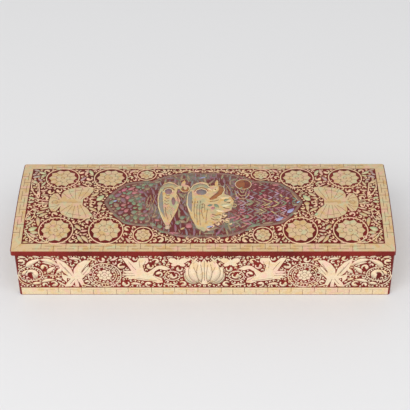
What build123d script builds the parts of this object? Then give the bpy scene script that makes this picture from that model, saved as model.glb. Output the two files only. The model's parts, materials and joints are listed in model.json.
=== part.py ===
from build123d import *
from math import asin, cos, radians, sin, sqrt
import os

os.makedirs("parts", exist_ok=True)

# Driving dimensions of the lid, in millimetres
lid_length = 300.0
lid_width = 105.5
lid_edge = 4.3
lid_rise = 4.5
lid_shift = -1.0
edge_bevel = 0.4

# Driving dimensions of the case
side_overhang = 1.6
front_overhang = 1.4
case_height = 44.8
wall = 5.0
corner_radius = 2.0
joint_rebate = 1.5
bottom_thickness = 4.0
bottom_rebate = 2.5

# Linings of velvet on card
floor_lining_thickness = 2.0
wall_lining_thickness = 1.5
lining_drop = 3.0
lid_lining_thickness = 1.6
lid_lining_recess = 1.0
lid_lining_margin = 2.5

# Brass butt hinges
hinge_spacing = 200.0
hinge_length = 22.0
hinge_setback = 0.2
barrel_radius = 1.8
barrel_clearance = 0.2
pin_radius = 0.8
pin_clearance = 0.05
leaf_thickness = 1.0
leaf_width = 4.5
leaf_gap = 0.05
knuckle_gap = 0.2

# Shell inlay
shell_depth = 0.4
band_end_inset = 0.7
band_edge_inset = 0.45
band_width = 7.4
side_band_width = 7.6
fret_pitch = 18.6
fret_phase = 4.0
side_band_foot = 0.4
fret_line = 0.3
fret_bar = 13.5
fret_bar_share = 0.68
fret_margin = 1.0
mitre_gap = 0.1
end_band_margin = 0.5
prism_margin = 1.0
large_radius = 11.6
large_petals = 10
small_radius = 6.4
small_petals = 8
roundel_radius = 6.2
roundel_x = 79.0
roundel_height = 24.0
notch_share = 0.84

# Worked out from the above
case_length = lid_length - 2 * side_overhang
case_width = lid_width - 2 * front_overhang
half_length = case_length / 2
half_width = case_width / 2
lid_top = case_height + lid_edge + lid_rise
arch_radius = (lid_width**2 / 4 + lid_rise**2) / (2 * lid_rise)
lid_band_length = lid_length - 2 * band_end_inset
lid_band_reach = lid_width - 2 * band_edge_inset
inner_length = case_length - 2 * wall
inner_width = case_width - 2 * wall
floor_top = bottom_thickness + floor_lining_thickness
lining_top = case_height - lining_drop
lining_height = lining_top - floor_top
hinge_y = half_width + hinge_setback
hinge_places = {"left": -hinge_spacing / 2, "right": hinge_spacing / 2}
knuckle_length = (hinge_length - 2 * knuckle_gap) / 3
knuckle_step = knuckle_length + knuckle_gap

# The planes that carry the ornament: x runs along each side, y runs up
lid_plane = Plane((lid_shift, 0, case_height + lid_edge - prism_margin))
prism_height = lid_rise + 2 * prism_margin
front_plane = Plane((0, -half_width, 0), x_dir=(1, 0, 0), z_dir=(0, -1, 0))
back_plane = Plane((0, half_width, 0), x_dir=(-1, 0, 0), z_dir=(0, 1, 0))
left_plane = Plane((-half_length, 0, 0), x_dir=(0, -1, 0), z_dir=(-1, 0, 0))
right_plane = Plane((half_length, 0, 0), x_dir=(0, 1, 0), z_dir=(1, 0, 0))


def save(piece, name):
    piece.part.label = name
    export_step(piece.part, f"parts/{name}.step")


def cos_of(degrees):
    return cos(radians(degrees))


def sin_of(degrees):
    return sin(radians(degrees))


def cut_plate(points, x, y, angle=0):
    # Shell is sawn with straight strokes, so every plate is a many-sided outline
    with Locations((x, y)):
        Polygon(*points, rotation=angle, align=None)


def lobe(x, y, half_x, half_y, angle=0, strokes=12):
    turns = [360 * k / strokes for k in range(strokes)]
    cut_plate([(half_x * cos_of(turn), half_y * sin_of(turn)) for turn in turns], x, y, angle)


def leaf(x, y, length, width, angle):
    edge = [(-length / 2, 0), (-length / 4, -0.36 * width), (0, -width / 2),
            (length / 4, -0.36 * width)]
    cut_plate(edge + [(-along, -across) for along, across in edge], x, y, angle)


def blossom(x, y, radius, petals):
    # Two strokes to a petal: from the notch out to its tip and back to the next notch
    step = 360 / petals
    points = []
    for k in range(petals):
        for turn, reach in ((-0.5, notch_share * radius), (0, radius)):
            points.append((reach * cos_of((k + turn) * step), reach * sin_of((k + turn) * step)))
    cut_plate(points, x, y)


def tee(x, foot, bar_y):
    # One T of the fret: a stem from the edge of the band to the middle of a bar
    with Locations((x, (foot + bar_y) / 2)):
        Rectangle(fret_line, abs(bar_y - foot) + fret_line, mode=Mode.SUBTRACT)
    with Locations((x, bar_y)):
        Rectangle(fret_bar, fret_line, mode=Mode.SUBTRACT)


def fret_lines(length, foot, width, pitch, phase):
    # Ts from both edges of the band, half a pitch apart, whose bars pass each other
    reach = length / 2 - width - fret_bar / 2 - fret_margin
    for k in range(-int(length / pitch), int(length / pitch) + 1):
        low = phase + k * pitch
        high = low + pitch / 2
        if abs(low) < reach:
            tee(low, foot, foot + fret_bar_share * width)
        if abs(high) < reach:
            tee(high, foot + width, foot + (1 - fret_bar_share) * width)


def mitred_band(length, width, band):
    # Four strips round a rectangle, mitred at its corners
    for angle, run, reach in ((0, length, width), (90, width, length), (180, length, width),
                              (270, width, length)):
        with BuildSketch(mode=Mode.PRIVATE) as strip:
            with BuildLine():
                half_run = run / 2 - mitre_gap
                Polyline((-half_run, 0), (half_run, 0), (half_run - band, band),
                         (-half_run + band, band), close=True)
            make_face()
        add(Rot(0, 0, angle) * Pos(0, -reach / 2) * strip.sketch)


# The arched lid before anything is let into it
def arch_section(radius, half_span):
    # The lid's cross section, looking along X: straight below, an arc above
    centre_z = lid_top - arch_radius
    side_z = centre_z + sqrt(radius**2 - half_span**2)
    with BuildLine() as section:
        base = Polyline((-half_span, side_z), (-half_span, case_height), (half_span, case_height),
                        (half_span, side_z))
        ThreePointArc(base @ 0, (0, centre_z + radius), base @ 1)
    make_face(section.edges())


with BuildPart() as lid_blank:
    with BuildSketch(Plane.YZ.offset(lid_shift)):
        arch_section(arch_radius, lid_width / 2)
    extrude(amount=lid_length / 2, both=True)
    fillet(lid_blank.edges().filter_by(Axis.Z), corner_radius)
    chamfer(lid_blank.faces().sort_by(Axis.Z)[-1].edges(), edge_bevel)

# The upper layer of the lid, as deep as the shell is thick
with BuildPart() as lid_skin:
    add(lid_blank.part)
    with BuildSketch(Plane.YZ.offset(lid_shift)):
        arch_section(arch_radius - shell_depth, lid_width / 2 + wall)
    extrude(amount=lid_length, both=True, mode=Mode.SUBTRACT)

lid_inlays = []


def let_into_lid(piece, name, layer=lid_skin):
    # The prism of the outline becomes a shell plate whose face is flush with the arch
    add(layer.part, mode=Mode.INTERSECT)
    lid_inlays.append((piece, name))


def bed_plane(y, reach):
    # A flat bed under one row of plates, as deep as the shell is thick where they end
    tilt = asin(y / arch_radius)
    radius = arch_radius - shell_depth - reach**2 / (2 * arch_radius)
    middle = (lid_shift, radius * sin(tilt), lid_top - arch_radius + radius * cos(tilt))
    return Plane(middle, x_dir=(1, 0, 0), z_dir=(0, sin(tilt), cos(tilt)))


with BuildPart() as lid_fret_band:
    with BuildSketch(lid_plane):
        mitred_band(lid_band_length, lid_band_reach, band_width)
    extrude(amount=prism_height)
    let_into_lid(lid_fret_band, "lid_fret_band")

# The medallion: a pointed oval with lobed edges, its tips on the long axis
medallion_tip = 80.0
medallion_top = 38.8


def medallion_outline():
    tip = (medallion_tip, 0)
    low_cusp = (63, 24.2)
    high_cusp = (42, 27.2)
    crown = (0, medallion_top)
    with BuildLine() as outline:
        ThreePointArc(tip, (73.5, 12.5), low_cusp)
        ThreePointArc(low_cusp, (53, 26.8), high_cusp)
        ThreePointArc(high_cusp, (25, 36.4), crown)
        mirror(about=Plane.YZ)
        mirror(about=Plane.XZ)
    make_face(outline.edges())


def rear_bird():
    cut_plate([(-28, 26), (-32.5, 23.5), (-35.5, 17), (-37, 4), (-35.5, -9), (-31.5, -22), (-28, -30),
               (-25.5, -22), (-21, -10), (-18.5, 2), (-22, 11), (-20.5, 20), (-24, 24.5)], 0, 0)
    lobe(-15, 17, 4.2, 5.2)
    leaf(-16.6, 23, 11, 3.4, 78)
    lobe(-19.5, 18.5, 3.4, 2.2, -35)


def front_bird():
    cut_plate([(-1, 26), (-6, 24.5), (-10, 18), (-13, 8), (-13.8, -3), (-9.5, -18), (-5, -29), (1, -33),
               (7, -25.5), (14, -21), (15.5, -13), (22.5, -9.5), (24.5, 1), (22, 7), (17, 10),
               (16.5, 16), (13, 20.5), (8, 21), (4.5, 20), (3, 24.5)], 0, 0)
    leaf(10.6, 23.5, 11, 3, 86)


def sun():
    lobe(32.4, 22.4, 6.3, 6.3)


with BuildPart() as lid_medallion_ground:
    with BuildSketch(lid_plane):
        medallion_outline()
    extrude(amount=prism_height)
    with BuildSketch(lid_plane):
        rear_bird()
        front_bird()
        sun()
    extrude(amount=prism_height, mode=Mode.SUBTRACT)
    let_into_lid(lid_medallion_ground, "lid_medallion_ground")

with BuildPart() as lid_rear_bird:
    with BuildSketch(lid_plane):
        rear_bird()
    extrude(amount=prism_height)
    let_into_lid(lid_rear_bird, "lid_rear_bird")

with BuildPart() as lid_front_bird:
    with BuildSketch(lid_plane):
        front_bird()
    extrude(amount=prism_height)
    let_into_lid(lid_front_bird, "lid_front_bird")

with BuildPart() as lid_sun:
    with BuildSketch(lid_plane):
        sun()
    extrude(amount=prism_height)
    let_into_lid(lid_sun, "lid_sun")

# One pocket takes the medallion's ground and all that is let into it
with BuildPart() as medallion_pocket:
    with BuildSketch(lid_plane):
        medallion_outline()
    extrude(amount=prism_height)
    add(lid_skin.part, mode=Mode.INTERSECT)

# Blossoms: four towards each end, and a small one over each lobe of the medallion
large_columns = (-116, -76.5, 76.5, 116)
large_row = 31.4
small_columns = (-47, 47)
small_row = 36

with BuildPart() as lid_large_blossoms:
    for row in (-large_row, large_row):
        with BuildSketch(bed_plane(row, large_radius)):
            for x in large_columns:
                blossom(x, 0, large_radius, large_petals)
    extrude(amount=prism_height)
    let_into_lid(lid_large_blossoms, "lid_large_blossoms", lid_blank)

with BuildPart() as lid_small_blossoms:
    for row in (-small_row, small_row):
        with BuildSketch(bed_plane(row, small_radius)):
            for x in small_columns:
                blossom(x, 0, small_radius, small_petals)
    extrude(amount=prism_height)
    let_into_lid(lid_small_blossoms, "lid_small_blossoms", lid_blank)

# Butterflies on the long axis: this is one side of the right one, from its tail lobe to its head
wing_side = [(124.5, 0), (123.8, 6), (121.5, 10.5), (118, 11), (114.5, 4.5), (115, 9.5), (113, 14),
             (108, 17.3), (98, 19.2), (90, 18.8), (89.3, 14), (92.5, 8), (97, 3.5)]
wing_reach = max(y for x, y in wing_side)

with BuildPart() as lid_butterflies:
    with BuildSketch(bed_plane(0, wing_reach)):
        cut_plate(wing_side + [(x, -y) for x, y in reversed(wing_side[1:])], 0, 0)
        mirror(about=Plane.YZ)
    extrude(amount=prism_height)
    let_into_lid(lid_butterflies, "lid_butterflies", lid_blank)

# The lid board, with a trough for the fret band and a pocket for every other plate of shell
with BuildPart() as lid_band_trough:
    with BuildSketch(lid_plane):
        Rectangle(lid_band_length, lid_band_reach)
        Rectangle(lid_band_length - 2 * band_width, lid_band_reach - 2 * band_width, mode=Mode.SUBTRACT)
    extrude(amount=prism_height)
    add(lid_skin.part, mode=Mode.INTERSECT)

lid_lining_length = inner_length - 2 * (wall_lining_thickness + lid_lining_margin)
lid_lining_width = inner_width - 2 * (wall_lining_thickness + lid_lining_margin)
lid_lining_foot = case_height + lid_lining_recess - lid_lining_thickness
barrel_notch = barrel_radius + barrel_clearance


def barrel_plane(x):
    # Faces along X at the left end of a stretch of hinge
    return Plane((x, hinge_y, case_height), x_dir=(0, 1, 0), z_dir=(1, 0, 0))


with BuildPart() as lid_lining:
    with BuildSketch(Plane.XY.offset(lid_lining_foot)):
        Rectangle(lid_lining_length, lid_lining_width)
    extrude(amount=lid_lining_thickness)
save(lid_lining, "lid_lining")

with BuildPart() as hinge_mortises:
    # One block that clears both leaves and the barrel, cut from the lid and the back wall alike
    for x in hinge_places.values():
        with BuildSketch(barrel_plane(x - hinge_length / 2 - barrel_clearance)):
            Circle(barrel_notch)
        extrude(amount=hinge_length + 2 * barrel_clearance)
        with BuildSketch(barrel_plane(x - hinge_length / 2)):
            with Locations((-leaf_width, 0)):
                Rectangle(leaf_width, 2 * leaf_thickness, align=(Align.MIN, Align.CENTER))
        extrude(amount=hinge_length)


def hinge_leaf(x, into, own_knuckles, bore):
    # A plate let into the wood, with knuckles wrapped about the pin, three in all on the two leaves
    start = x - hinge_length / 2
    plate_middle = into * (leaf_thickness + leaf_gap) / 2
    with BuildSketch(barrel_plane(start)) as plate:
        with Locations((-leaf_width / 2, plate_middle)):
            Rectangle(leaf_width, leaf_thickness - leaf_gap)
    extrude(plate.sketch, amount=hinge_length)
    for k in own_knuckles:
        with BuildSketch(barrel_plane(start + k * knuckle_step)) as knuckle:
            Circle(barrel_radius)
        extrude(knuckle.sketch, amount=knuckle_length)
    for k in set(range(3)) - set(own_knuckles):
        with BuildSketch(barrel_plane(start + k * knuckle_step - knuckle_gap)) as space:
            Circle(barrel_radius + barrel_clearance / 2)
        extrude(space.sketch, amount=knuckle_length + 2 * knuckle_gap, mode=Mode.SUBTRACT)
    with BuildSketch(barrel_plane(start)) as pin_hole:
        Circle(bore)
    extrude(pin_hole.sketch, amount=hinge_length, mode=Mode.SUBTRACT)


for side, x in hinge_places.items():
    with BuildPart() as case_leaf:
        hinge_leaf(x, -1, (0, 2), pin_radius)
    save(case_leaf, f"hinge_{side}_case_leaf")

    with BuildPart() as lid_leaf:
        hinge_leaf(x, 1, (1,), pin_radius + pin_clearance)
    save(lid_leaf, f"hinge_{side}_lid_leaf")

    with BuildPart() as pin:
        with BuildSketch(barrel_plane(x - hinge_length / 2)):
            Circle(pin_radius)
        extrude(amount=hinge_length)
    save(pin, f"hinge_{side}_pin")

with BuildPart() as lid_board:
    add(lid_blank.part)
    for pocket in (lid_band_trough, medallion_pocket, lid_large_blossoms, lid_small_blossoms,
                   lid_butterflies, lid_lining, hinge_mortises):
        add(pocket.part, mode=Mode.SUBTRACT)
save(lid_board, "lid_board")

for piece, name in lid_inlays:
    save(piece, name)

# The case's shell, cut on the plane of each side and let in to the depth of the shell
side_inlays = {"front": [], "back": [], "left": [], "right": []}


def let_into_side(piece, side, name):
    side_inlays[side].append(piece)
    save(piece, name)


def side_band(length):
    with Locations((0, side_band_foot + side_band_width / 2)):
        Rectangle(length, side_band_width)


front_band_length = case_length - 2 * corner_radius
end_band_length = inner_width + 2 * (joint_rebate - end_band_margin)
band_lengths = {"front": (front_plane, front_band_length), "back": (back_plane, front_band_length),
                "left": (left_plane, end_band_length), "right": (right_plane, end_band_length)}
for side, (plane, length) in band_lengths.items():
    with BuildPart() as side_fret_band:
        with BuildSketch(plane):
            side_band(length)
            if side == "front":
                fret_lines(length + side_band_width, side_band_foot, side_band_width,
                           fret_pitch, fret_phase)
        extrude(amount=-shell_depth)
    save(side_fret_band, f"{side}_fret_band")


def roundel(x, y):
    blossom(x, y, roundel_radius, small_petals)


def blade_spray(x, y):
    # Two sheaves of blades that rise from one knot, with short ones that hang below it
    cut_plate([(-15.5, 21), (-14, 12), (-10, 4.5), (-6.5, 0.5), (-12, 3), (-11.5, -2.5), (-8.5, -6.5),
               (-8, -1.5), (-5, -2.5), (-8.5, -7), (-10.5, -11.5), (-5, -11), (-2, -6), (-2, -11.5),
               (1, -11.5), (1, -5), (3, -10.5), (5.5, -9), (4, -2.5), (7, 1.5), (11, 5), (11.5, 10),
               (8.5, 11), (3.5, 3), (5, 7), (9, 12.5), (12.5, 18), (7, 18), (2, 14.5), (-2, 8),
               (-2.5, 2.5), (-4, 9), (-8.5, 15.5)], x, y)


def lotus(x, y):
    # Upright petals in a fan, with drooping leaves at the foot
    for side in (-1, 1):
        leaf(x + side * 5, y + 6, 21, 8, 90 - side * 24)
        leaf(x + side * 8.5, y + 1, 18, 8, 90 - side * 52)
        leaf(x + side * 8, y - 7.5, 13, 5, side * 20)
    leaf(x, y + 2, 28, 10, 90)
    lobe(x, y - 7, 5, 6)


def crane(x, y):
    # Flies towards the middle of the box: tail fan, low body, neck and beak, two raised wings
    cut_plate([(-9.5, 6), (-16.5, 5.5), (-13.5, 3), (-17.5, 2), (-13.5, 0), (-16.5, -2), (-12, -2),
               (-12.5, -4), (-8, -3), (-5, -4), (0, -5), (6, -5.5), (11, -8), (15, -7), (14, -2),
               (7, 0.5), (9, 5.5), (12.5, 8), (17, 6.5), (21.5, 8), (17.5, 11), (14, 12), (10.5, 11),
               (7, 7.5), (3, 4), (0.5, 5.5), (-0.5, 12.5), (2.5, 13.5), (4.5, 16), (4, 20.3),
               (-3, 20), (-5, 15.5), (-7.5, 15), (-12, 20.3), (-16.5, 20.3), (-12.5, 12.5)], x, y)


def small_butterfly(x, y):
    lobe(x, y, 1, 4, strokes=6)
    for side in (-1, 1):
        lobe(x + side * 4, y + 1.4, 4, 2.8, side * 28, strokes=8)
        lobe(x + side * 3, y - 2.8, 2.8, 2, side * -32, strokes=8)


# Each motif of the front is drawn on the left and mirrored, apart from the lotus in the middle
front_motifs = {"front_lotus": (lotus, 0, 24.5, False),
                "front_butterflies": (small_butterfly, -20.5, 36.6, True),
                "front_cranes": (crane, -48, 21, True),
                "front_roundels": (roundel, -roundel_x, 22, True),
                "front_blade_sprays": (blade_spray, -101, 20.5, True)}
for name, (motif, x, y, both_sides) in front_motifs.items():
    with BuildPart() as front_piece:
        with BuildSketch(front_plane):
            motif(x, y)
            if both_sides:
                mirror(about=Plane.YZ)
        extrude(amount=-shell_depth)
    let_into_side(front_piece, "front", name)

with BuildPart() as back_roundels:
    with BuildSketch(back_plane):
        for x in (-roundel_x, 0, roundel_x):
            roundel(x, roundel_height)
    extrude(amount=-shell_depth)
let_into_side(back_roundels, "back", "back_roundels")

for side in ("left", "right"):
    with BuildPart() as end_roundel:
        with BuildSketch(band_lengths[side][0]):
            roundel(0, roundel_height)
        extrude(amount=-shell_depth)
    let_into_side(end_roundel, side, f"{side}_roundel")

# The case: four walls joined by rebates at the corners, round a bottom panel
with BuildPart() as bottom_panel:
    with BuildSketch():
        Rectangle(inner_length + 2 * bottom_rebate, inner_width + 2 * bottom_rebate)
    extrude(amount=bottom_thickness)
save(bottom_panel, "bottom_panel")


def let_in_shell(side):
    plane, length = band_lengths[side]
    with BuildSketch(plane) as trough:
        side_band(length)
    extrude(trough.sketch, amount=-shell_depth, mode=Mode.SUBTRACT)
    for piece in side_inlays[side]:
        add(piece.part, mode=Mode.SUBTRACT)


for side, facing in (("front", -1), ("back", 1)):
    with BuildPart() as long_wall:
        with BuildSketch() as plan:
            with Locations((0, facing * (half_width - wall / 2))):
                Rectangle(case_length, wall)
            fillet(plan.vertices().group_by(Axis.Y)[0 if facing < 0 else -1], corner_radius)
            for end in (-1, 1):
                with Locations((end * (half_length - wall / 2),
                                facing * (half_width - wall + joint_rebate / 2))):
                    Rectangle(wall, joint_rebate, mode=Mode.SUBTRACT)
        extrude(amount=case_height)
        add(bottom_panel.part, mode=Mode.SUBTRACT)
        let_in_shell(side)
        if side == "back":
            add(hinge_mortises.part, mode=Mode.SUBTRACT)
        save(long_wall, f"{side}_wall")

for side, facing in (("left", -1), ("right", 1)):
    with BuildPart() as end_wall:
        with BuildSketch():
            with Locations((facing * (half_length - wall / 2), 0)):
                Rectangle(wall, inner_width + 2 * joint_rebate)
        extrude(amount=case_height)
        add(bottom_panel.part, mode=Mode.SUBTRACT)
        let_in_shell(side)
    save(end_wall, f"{side}_wall")

# The linings: a pad on the floor and a strip with a rounded top along each wall
with BuildPart() as floor_lining:
    with BuildSketch(Plane.XY.offset(bottom_thickness)):
        Rectangle(inner_length, inner_width)
    extrude(amount=floor_lining_thickness)
save(floor_lining, "floor_lining")

for side, facing in (("front", -1), ("back", 1)):
    with BuildPart() as long_lining:
        with BuildSketch(Plane.XY.offset(floor_top)):
            with Locations((0, facing * (inner_width - wall_lining_thickness) / 2)):
                Rectangle(inner_length, wall_lining_thickness)
        extrude(amount=lining_height)
        top_edges = long_lining.faces().sort_by(Axis.Z)[-1].edges().sort_by(Axis.Y)
        fillet(top_edges[-1 if facing < 0 else 0], wall_lining_thickness / 2)
    save(long_lining, f"{side}_lining")

for side, facing in (("left", -1), ("right", 1)):
    with BuildPart() as end_lining:
        with BuildSketch(Plane.XY.offset(floor_top)):
            with Locations((facing * (inner_length - wall_lining_thickness) / 2, 0)):
                Rectangle(wall_lining_thickness, inner_width - 2 * wall_lining_thickness)
        extrude(amount=lining_height)
        top_edges = end_lining.faces().sort_by(Axis.Z)[-1].edges().sort_by(Axis.X)
        fillet(top_edges[-1 if facing < 0 else 0], wall_lining_thickness / 2)
    save(end_lining, f"{side}_lining")
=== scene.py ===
import json
import math
import random

import bpy
import numpy as np
from mathutils import Matrix, Vector
from mathutils.bvhtree import BVHTree


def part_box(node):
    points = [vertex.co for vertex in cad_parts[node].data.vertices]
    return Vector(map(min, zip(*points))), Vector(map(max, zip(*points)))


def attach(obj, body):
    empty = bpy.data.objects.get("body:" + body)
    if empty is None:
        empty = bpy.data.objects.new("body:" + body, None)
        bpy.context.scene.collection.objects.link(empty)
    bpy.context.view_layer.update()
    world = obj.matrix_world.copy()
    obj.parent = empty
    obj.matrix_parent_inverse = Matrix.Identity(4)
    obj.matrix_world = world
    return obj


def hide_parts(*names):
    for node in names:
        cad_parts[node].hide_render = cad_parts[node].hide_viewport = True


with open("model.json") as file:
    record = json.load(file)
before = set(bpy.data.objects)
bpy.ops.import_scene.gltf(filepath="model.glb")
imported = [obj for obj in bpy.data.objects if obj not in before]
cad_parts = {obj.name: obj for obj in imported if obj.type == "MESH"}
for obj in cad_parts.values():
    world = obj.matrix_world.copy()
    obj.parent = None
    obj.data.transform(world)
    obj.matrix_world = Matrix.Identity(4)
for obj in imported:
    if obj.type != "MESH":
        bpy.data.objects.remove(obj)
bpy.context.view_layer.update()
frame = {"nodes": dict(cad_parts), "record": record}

mm = 0.001
scene = bpy.context.scene
nodes = frame["nodes"]
bpy.ops.object.select_all(action="DESELECT")

# the box as the frame gives it
lidLow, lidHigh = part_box("lid_board")
caseLow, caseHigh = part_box("front_wall")
lidCentreX = (lidLow.x + lidHigh.x) / 2
lidWidth = lidHigh.y - lidLow.y
frontY = caseLow.y
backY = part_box("back_wall")[1].y
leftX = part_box("left_wall")[0].x
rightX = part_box("right_wall")[1].x
archRise = 4.5 * mm
archRadius = (lidWidth ** 2 / 4 + archRise ** 2) / (2 * archRise)


def archZ(y):
    # height of the lid's arched top at a distance from its ridge
    return lidHigh.z - archRadius + math.sqrt(archRadius ** 2 - y ** 2)


# where a flat drawing in mm goes: x, y of the drawing and the height above the surface
def onLid(x, y, lift):
    return Vector((lidCentreX + x * mm, y * mm, archZ(y * mm) + lift))


def onFront(x, y, lift):
    return Vector((x * mm, frontY - lift, y * mm))


def onBack(x, y, lift):
    return Vector((-x * mm, backY + lift, y * mm))


def onLeft(x, y, lift):
    return Vector((leftX - lift, -x * mm, y * mm))


def onRight(x, y, lift):
    return Vector((rightX + lift, x * mm, y * mm))


# camera: a long lens above and in front of the box, turned and rolled a little
cameraSetup = {
    "turn": 0.924,          # degrees round the box
    "height": 42.11,        # degrees above the floor
    "roll": -0.661,
    "distance": 1.0427,
    "focalPixels": 1294.8,
    "imageWidth": 410,
    "sensor": 36.0,
    "aim": (0.0003, 0.0, 0.0504),
}


def addCamera(setup):
    turn = math.radians(setup["turn"])
    height = math.radians(setup["height"])
    roll = math.radians(setup["roll"])
    back = Vector((math.sin(turn) * math.cos(height), -math.cos(turn) * math.cos(height), math.sin(height)))
    side = Vector((0, 0, 1)).cross(back).normalized()
    up = back.cross(side)
    rolledSide = side * math.cos(roll) + up * math.sin(roll)
    rolledUp = up * math.cos(roll) - side * math.sin(roll)
    bpy.ops.object.camera_add()
    camera = bpy.context.object
    place = Vector(setup["aim"]) + back * setup["distance"]
    axes = Matrix((rolledSide, rolledUp, back)).transposed().to_4x4()
    camera.matrix_world = Matrix.Translation(place) @ axes
    camera.data.sensor_width = setup["sensor"]
    camera.data.lens = setup["sensor"] * setup["focalPixels"] / setup["imageWidth"]
    camera.data.clip_start = 0.05
    scene.camera = camera


addCamera(cameraSetup)
print("camera placed")


def toLinear(value):
    value = value / 255
    return value / 12.92 if value <= 0.04045 else ((value + 0.055) / 1.055) ** 2.4


def tone(red, green, blue):
    return (toLinear(red), toLinear(green), toLinear(blue), 1.0)


def addNode(tree, kind, **settings):
    node = tree.nodes.new(kind)
    for key, value in settings.items():
        setattr(node, key, value)
    return node


def newGroup(name, inputs, outputs):
    group = bpy.data.node_groups.new(name, "ShaderNodeTree")
    for label, kind, value in inputs:
        socket = group.interface.new_socket(name=label, in_out="INPUT", socket_type=kind)
        socket.default_value = value
    for label, kind in outputs:
        group.interface.new_socket(name=label, in_out="OUTPUT", socket_type=kind)
    return group, addNode(group, "NodeGroupInput"), addNode(group, "NodeGroupOutput")


def mixColor(tree, factor, first, second, blend="MIX"):
    # each of the three is a socket or a plain value
    mix = addNode(tree, "ShaderNodeMix", data_type="RGBA", blend_type=blend)
    for socket, value in zip((mix.inputs[0], mix.inputs[6], mix.inputs[7]), (factor, first, second)):
        if isinstance(value, bpy.types.NodeSocket):
            tree.links.new(value, socket)
        else:
            socket.default_value = value
    return mix.outputs[2]


def addNoise(tree, place, **values):
    # the values are inputs of the noise, such as Scale and Detail
    noise = addNode(tree, "ShaderNodeTexNoise")
    for label, value in values.items():
        noise.inputs[label].default_value = value
    tree.links.new(place, noise.inputs["Vector"])
    return noise


def softStep(tree, value, low, high):
    ramp = addNode(tree, "ShaderNodeMapRange", interpolation_type="SMOOTHSTEP")
    tree.links.new(value, ramp.inputs["Value"])
    ramp.inputs["From Min"].default_value = low
    ramp.inputs["From Max"].default_value = high
    return ramp.outputs["Result"]


# shell: every slip has its own tone, and clouds of colour run across it
def makeNacreGroup():
    group, given, result = newGroup(
        "nacreTones",
        [("Ground", "NodeSocketColor", tone(214, 194, 146)),
         ("Green", "NodeSocketColor", tone(190, 206, 162)),
         ("Pink", "NodeSocketColor", tone(226, 182, 164)),
         ("Gold", "NodeSocketColor", tone(214, 182, 118)),
         ("Slip Scale", "NodeSocketFloat", 180.0), ("Cloud Scale", "NodeSocketFloat", 60.0)],
        [("Color", "NodeSocketColor"), ("Height", "NodeSocketFloat")])
    place = addNode(group, "ShaderNodeTexCoord").outputs["Object"]
    slips = addNode(group, "ShaderNodeTexVoronoi")
    group.links.new(place, slips.inputs["Vector"])
    clouds = addNoise(group, place, Detail=3.0)
    growth = addNoise(group, place, Scale=900.0)
    group.links.new(given.outputs["Slip Scale"], slips.inputs["Scale"])
    group.links.new(given.outputs["Cloud Scale"], clouds.inputs["Scale"])
    parts = addNode(group, "ShaderNodeSeparateColor")
    group.links.new(slips.outputs["Color"], parts.inputs[0])
    cloudParts = addNode(group, "ShaderNodeSeparateColor")
    group.links.new(clouds.outputs["Color"], cloudParts.inputs[0])
    color = mixColor(group, softStep(group, parts.outputs[0], 0.45, 1.0), given.outputs["Ground"],
                     given.outputs["Gold"])
    color = mixColor(group, softStep(group, cloudParts.outputs[1], 0.5, 0.66), color, given.outputs["Green"])
    color = mixColor(group, softStep(group, cloudParts.outputs[2], 0.52, 0.68), color, given.outputs["Pink"])
    veil = softStep(group, growth.outputs[0], 0.3, 0.75)
    color = mixColor(group, veil, color, mixColor(group, 0.16, color, (0.25, 0.16, 0.08, 1.0)))
    group.links.new(color, result.inputs["Color"])
    group.links.new(growth.outputs[0], result.inputs["Height"])
    return group


# lacquer: slightly cloudy, with fine dust and rubbed spots that change its gloss
def makeLacquerGroup():
    group, given, result = newGroup(
        "lacquerTones",
        [("Ground", "NodeSocketColor", tone(122, 30, 32)), ("Deep", "NodeSocketColor", tone(84, 16, 18)),
         ("Gloss", "NodeSocketFloat", 0.3)],
        [("Color", "NodeSocketColor"), ("Roughness", "NodeSocketFloat"), ("Height", "NodeSocketFloat")])
    place = addNode(group, "ShaderNodeTexCoord").outputs["Object"]
    clouds = addNoise(group, place, Scale=45.0, Detail=4.0)
    dust = addNoise(group, place, Scale=1600.0)
    color = mixColor(group, softStep(group, clouds.outputs[0], 0.35, 0.7), given.outputs["Ground"],
                     given.outputs["Deep"])
    worn = addNode(group, "ShaderNodeMath", operation="MULTIPLY_ADD")
    group.links.new(dust.outputs[0], worn.inputs[0])
    worn.inputs[1].default_value = 0.16
    group.links.new(given.outputs["Gloss"], worn.inputs[2])
    group.links.new(color, result.inputs["Color"])
    group.links.new(worn.outputs[0], result.inputs["Roughness"])
    group.links.new(dust.outputs[0], result.inputs["Height"])
    return group


nacreTones = makeNacreGroup()
lacquerTones = makeLacquerGroup()


def newMaterial(name, roughness=0.4, metallic=0.0, coat=0.0, shine=0.5):
    material = bpy.data.materials.new(name)
    material.use_nodes = True
    shader = material.node_tree.nodes["Principled BSDF"]
    shader.inputs["Roughness"].default_value = roughness
    shader.inputs["Metallic"].default_value = metallic
    shader.inputs["Coat Weight"].default_value = coat
    shader.inputs["Coat Roughness"].default_value = 0.12
    shader.inputs["Specular IOR Level"].default_value = shine
    return material, material.node_tree, shader


def addBump(tree, shader, height, distance):
    bump = addNode(tree, "ShaderNodeBump")
    bump.inputs["Distance"].default_value = distance
    bump.inputs["Strength"].default_value = 0.4
    tree.links.new(height, bump.inputs["Height"])
    tree.links.new(bump.outputs["Normal"], shader.inputs["Normal"])


def placeGroup(tree, group, values):
    node = addNode(tree, "ShaderNodeGroup", node_tree=group)
    for label, value in values.items():
        node.inputs[label].default_value = value
    return node


def nacre(name, ground, green, pink, gold, slipScale, cloudScale):
    material, tree, shader = newMaterial(name, roughness=0.36, coat=0.1, shine=0.4)
    tones = placeGroup(tree, nacreTones, {
        "Ground": tone(*ground), "Green": tone(*green), "Pink": tone(*pink), "Gold": tone(*gold),
        "Slip Scale": slipScale, "Cloud Scale": cloudScale})
    tree.links.new(tones.outputs["Color"], shader.inputs["Base Color"])
    addBump(tree, shader, tones.outputs["Height"], 0.00004)
    return material


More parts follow.
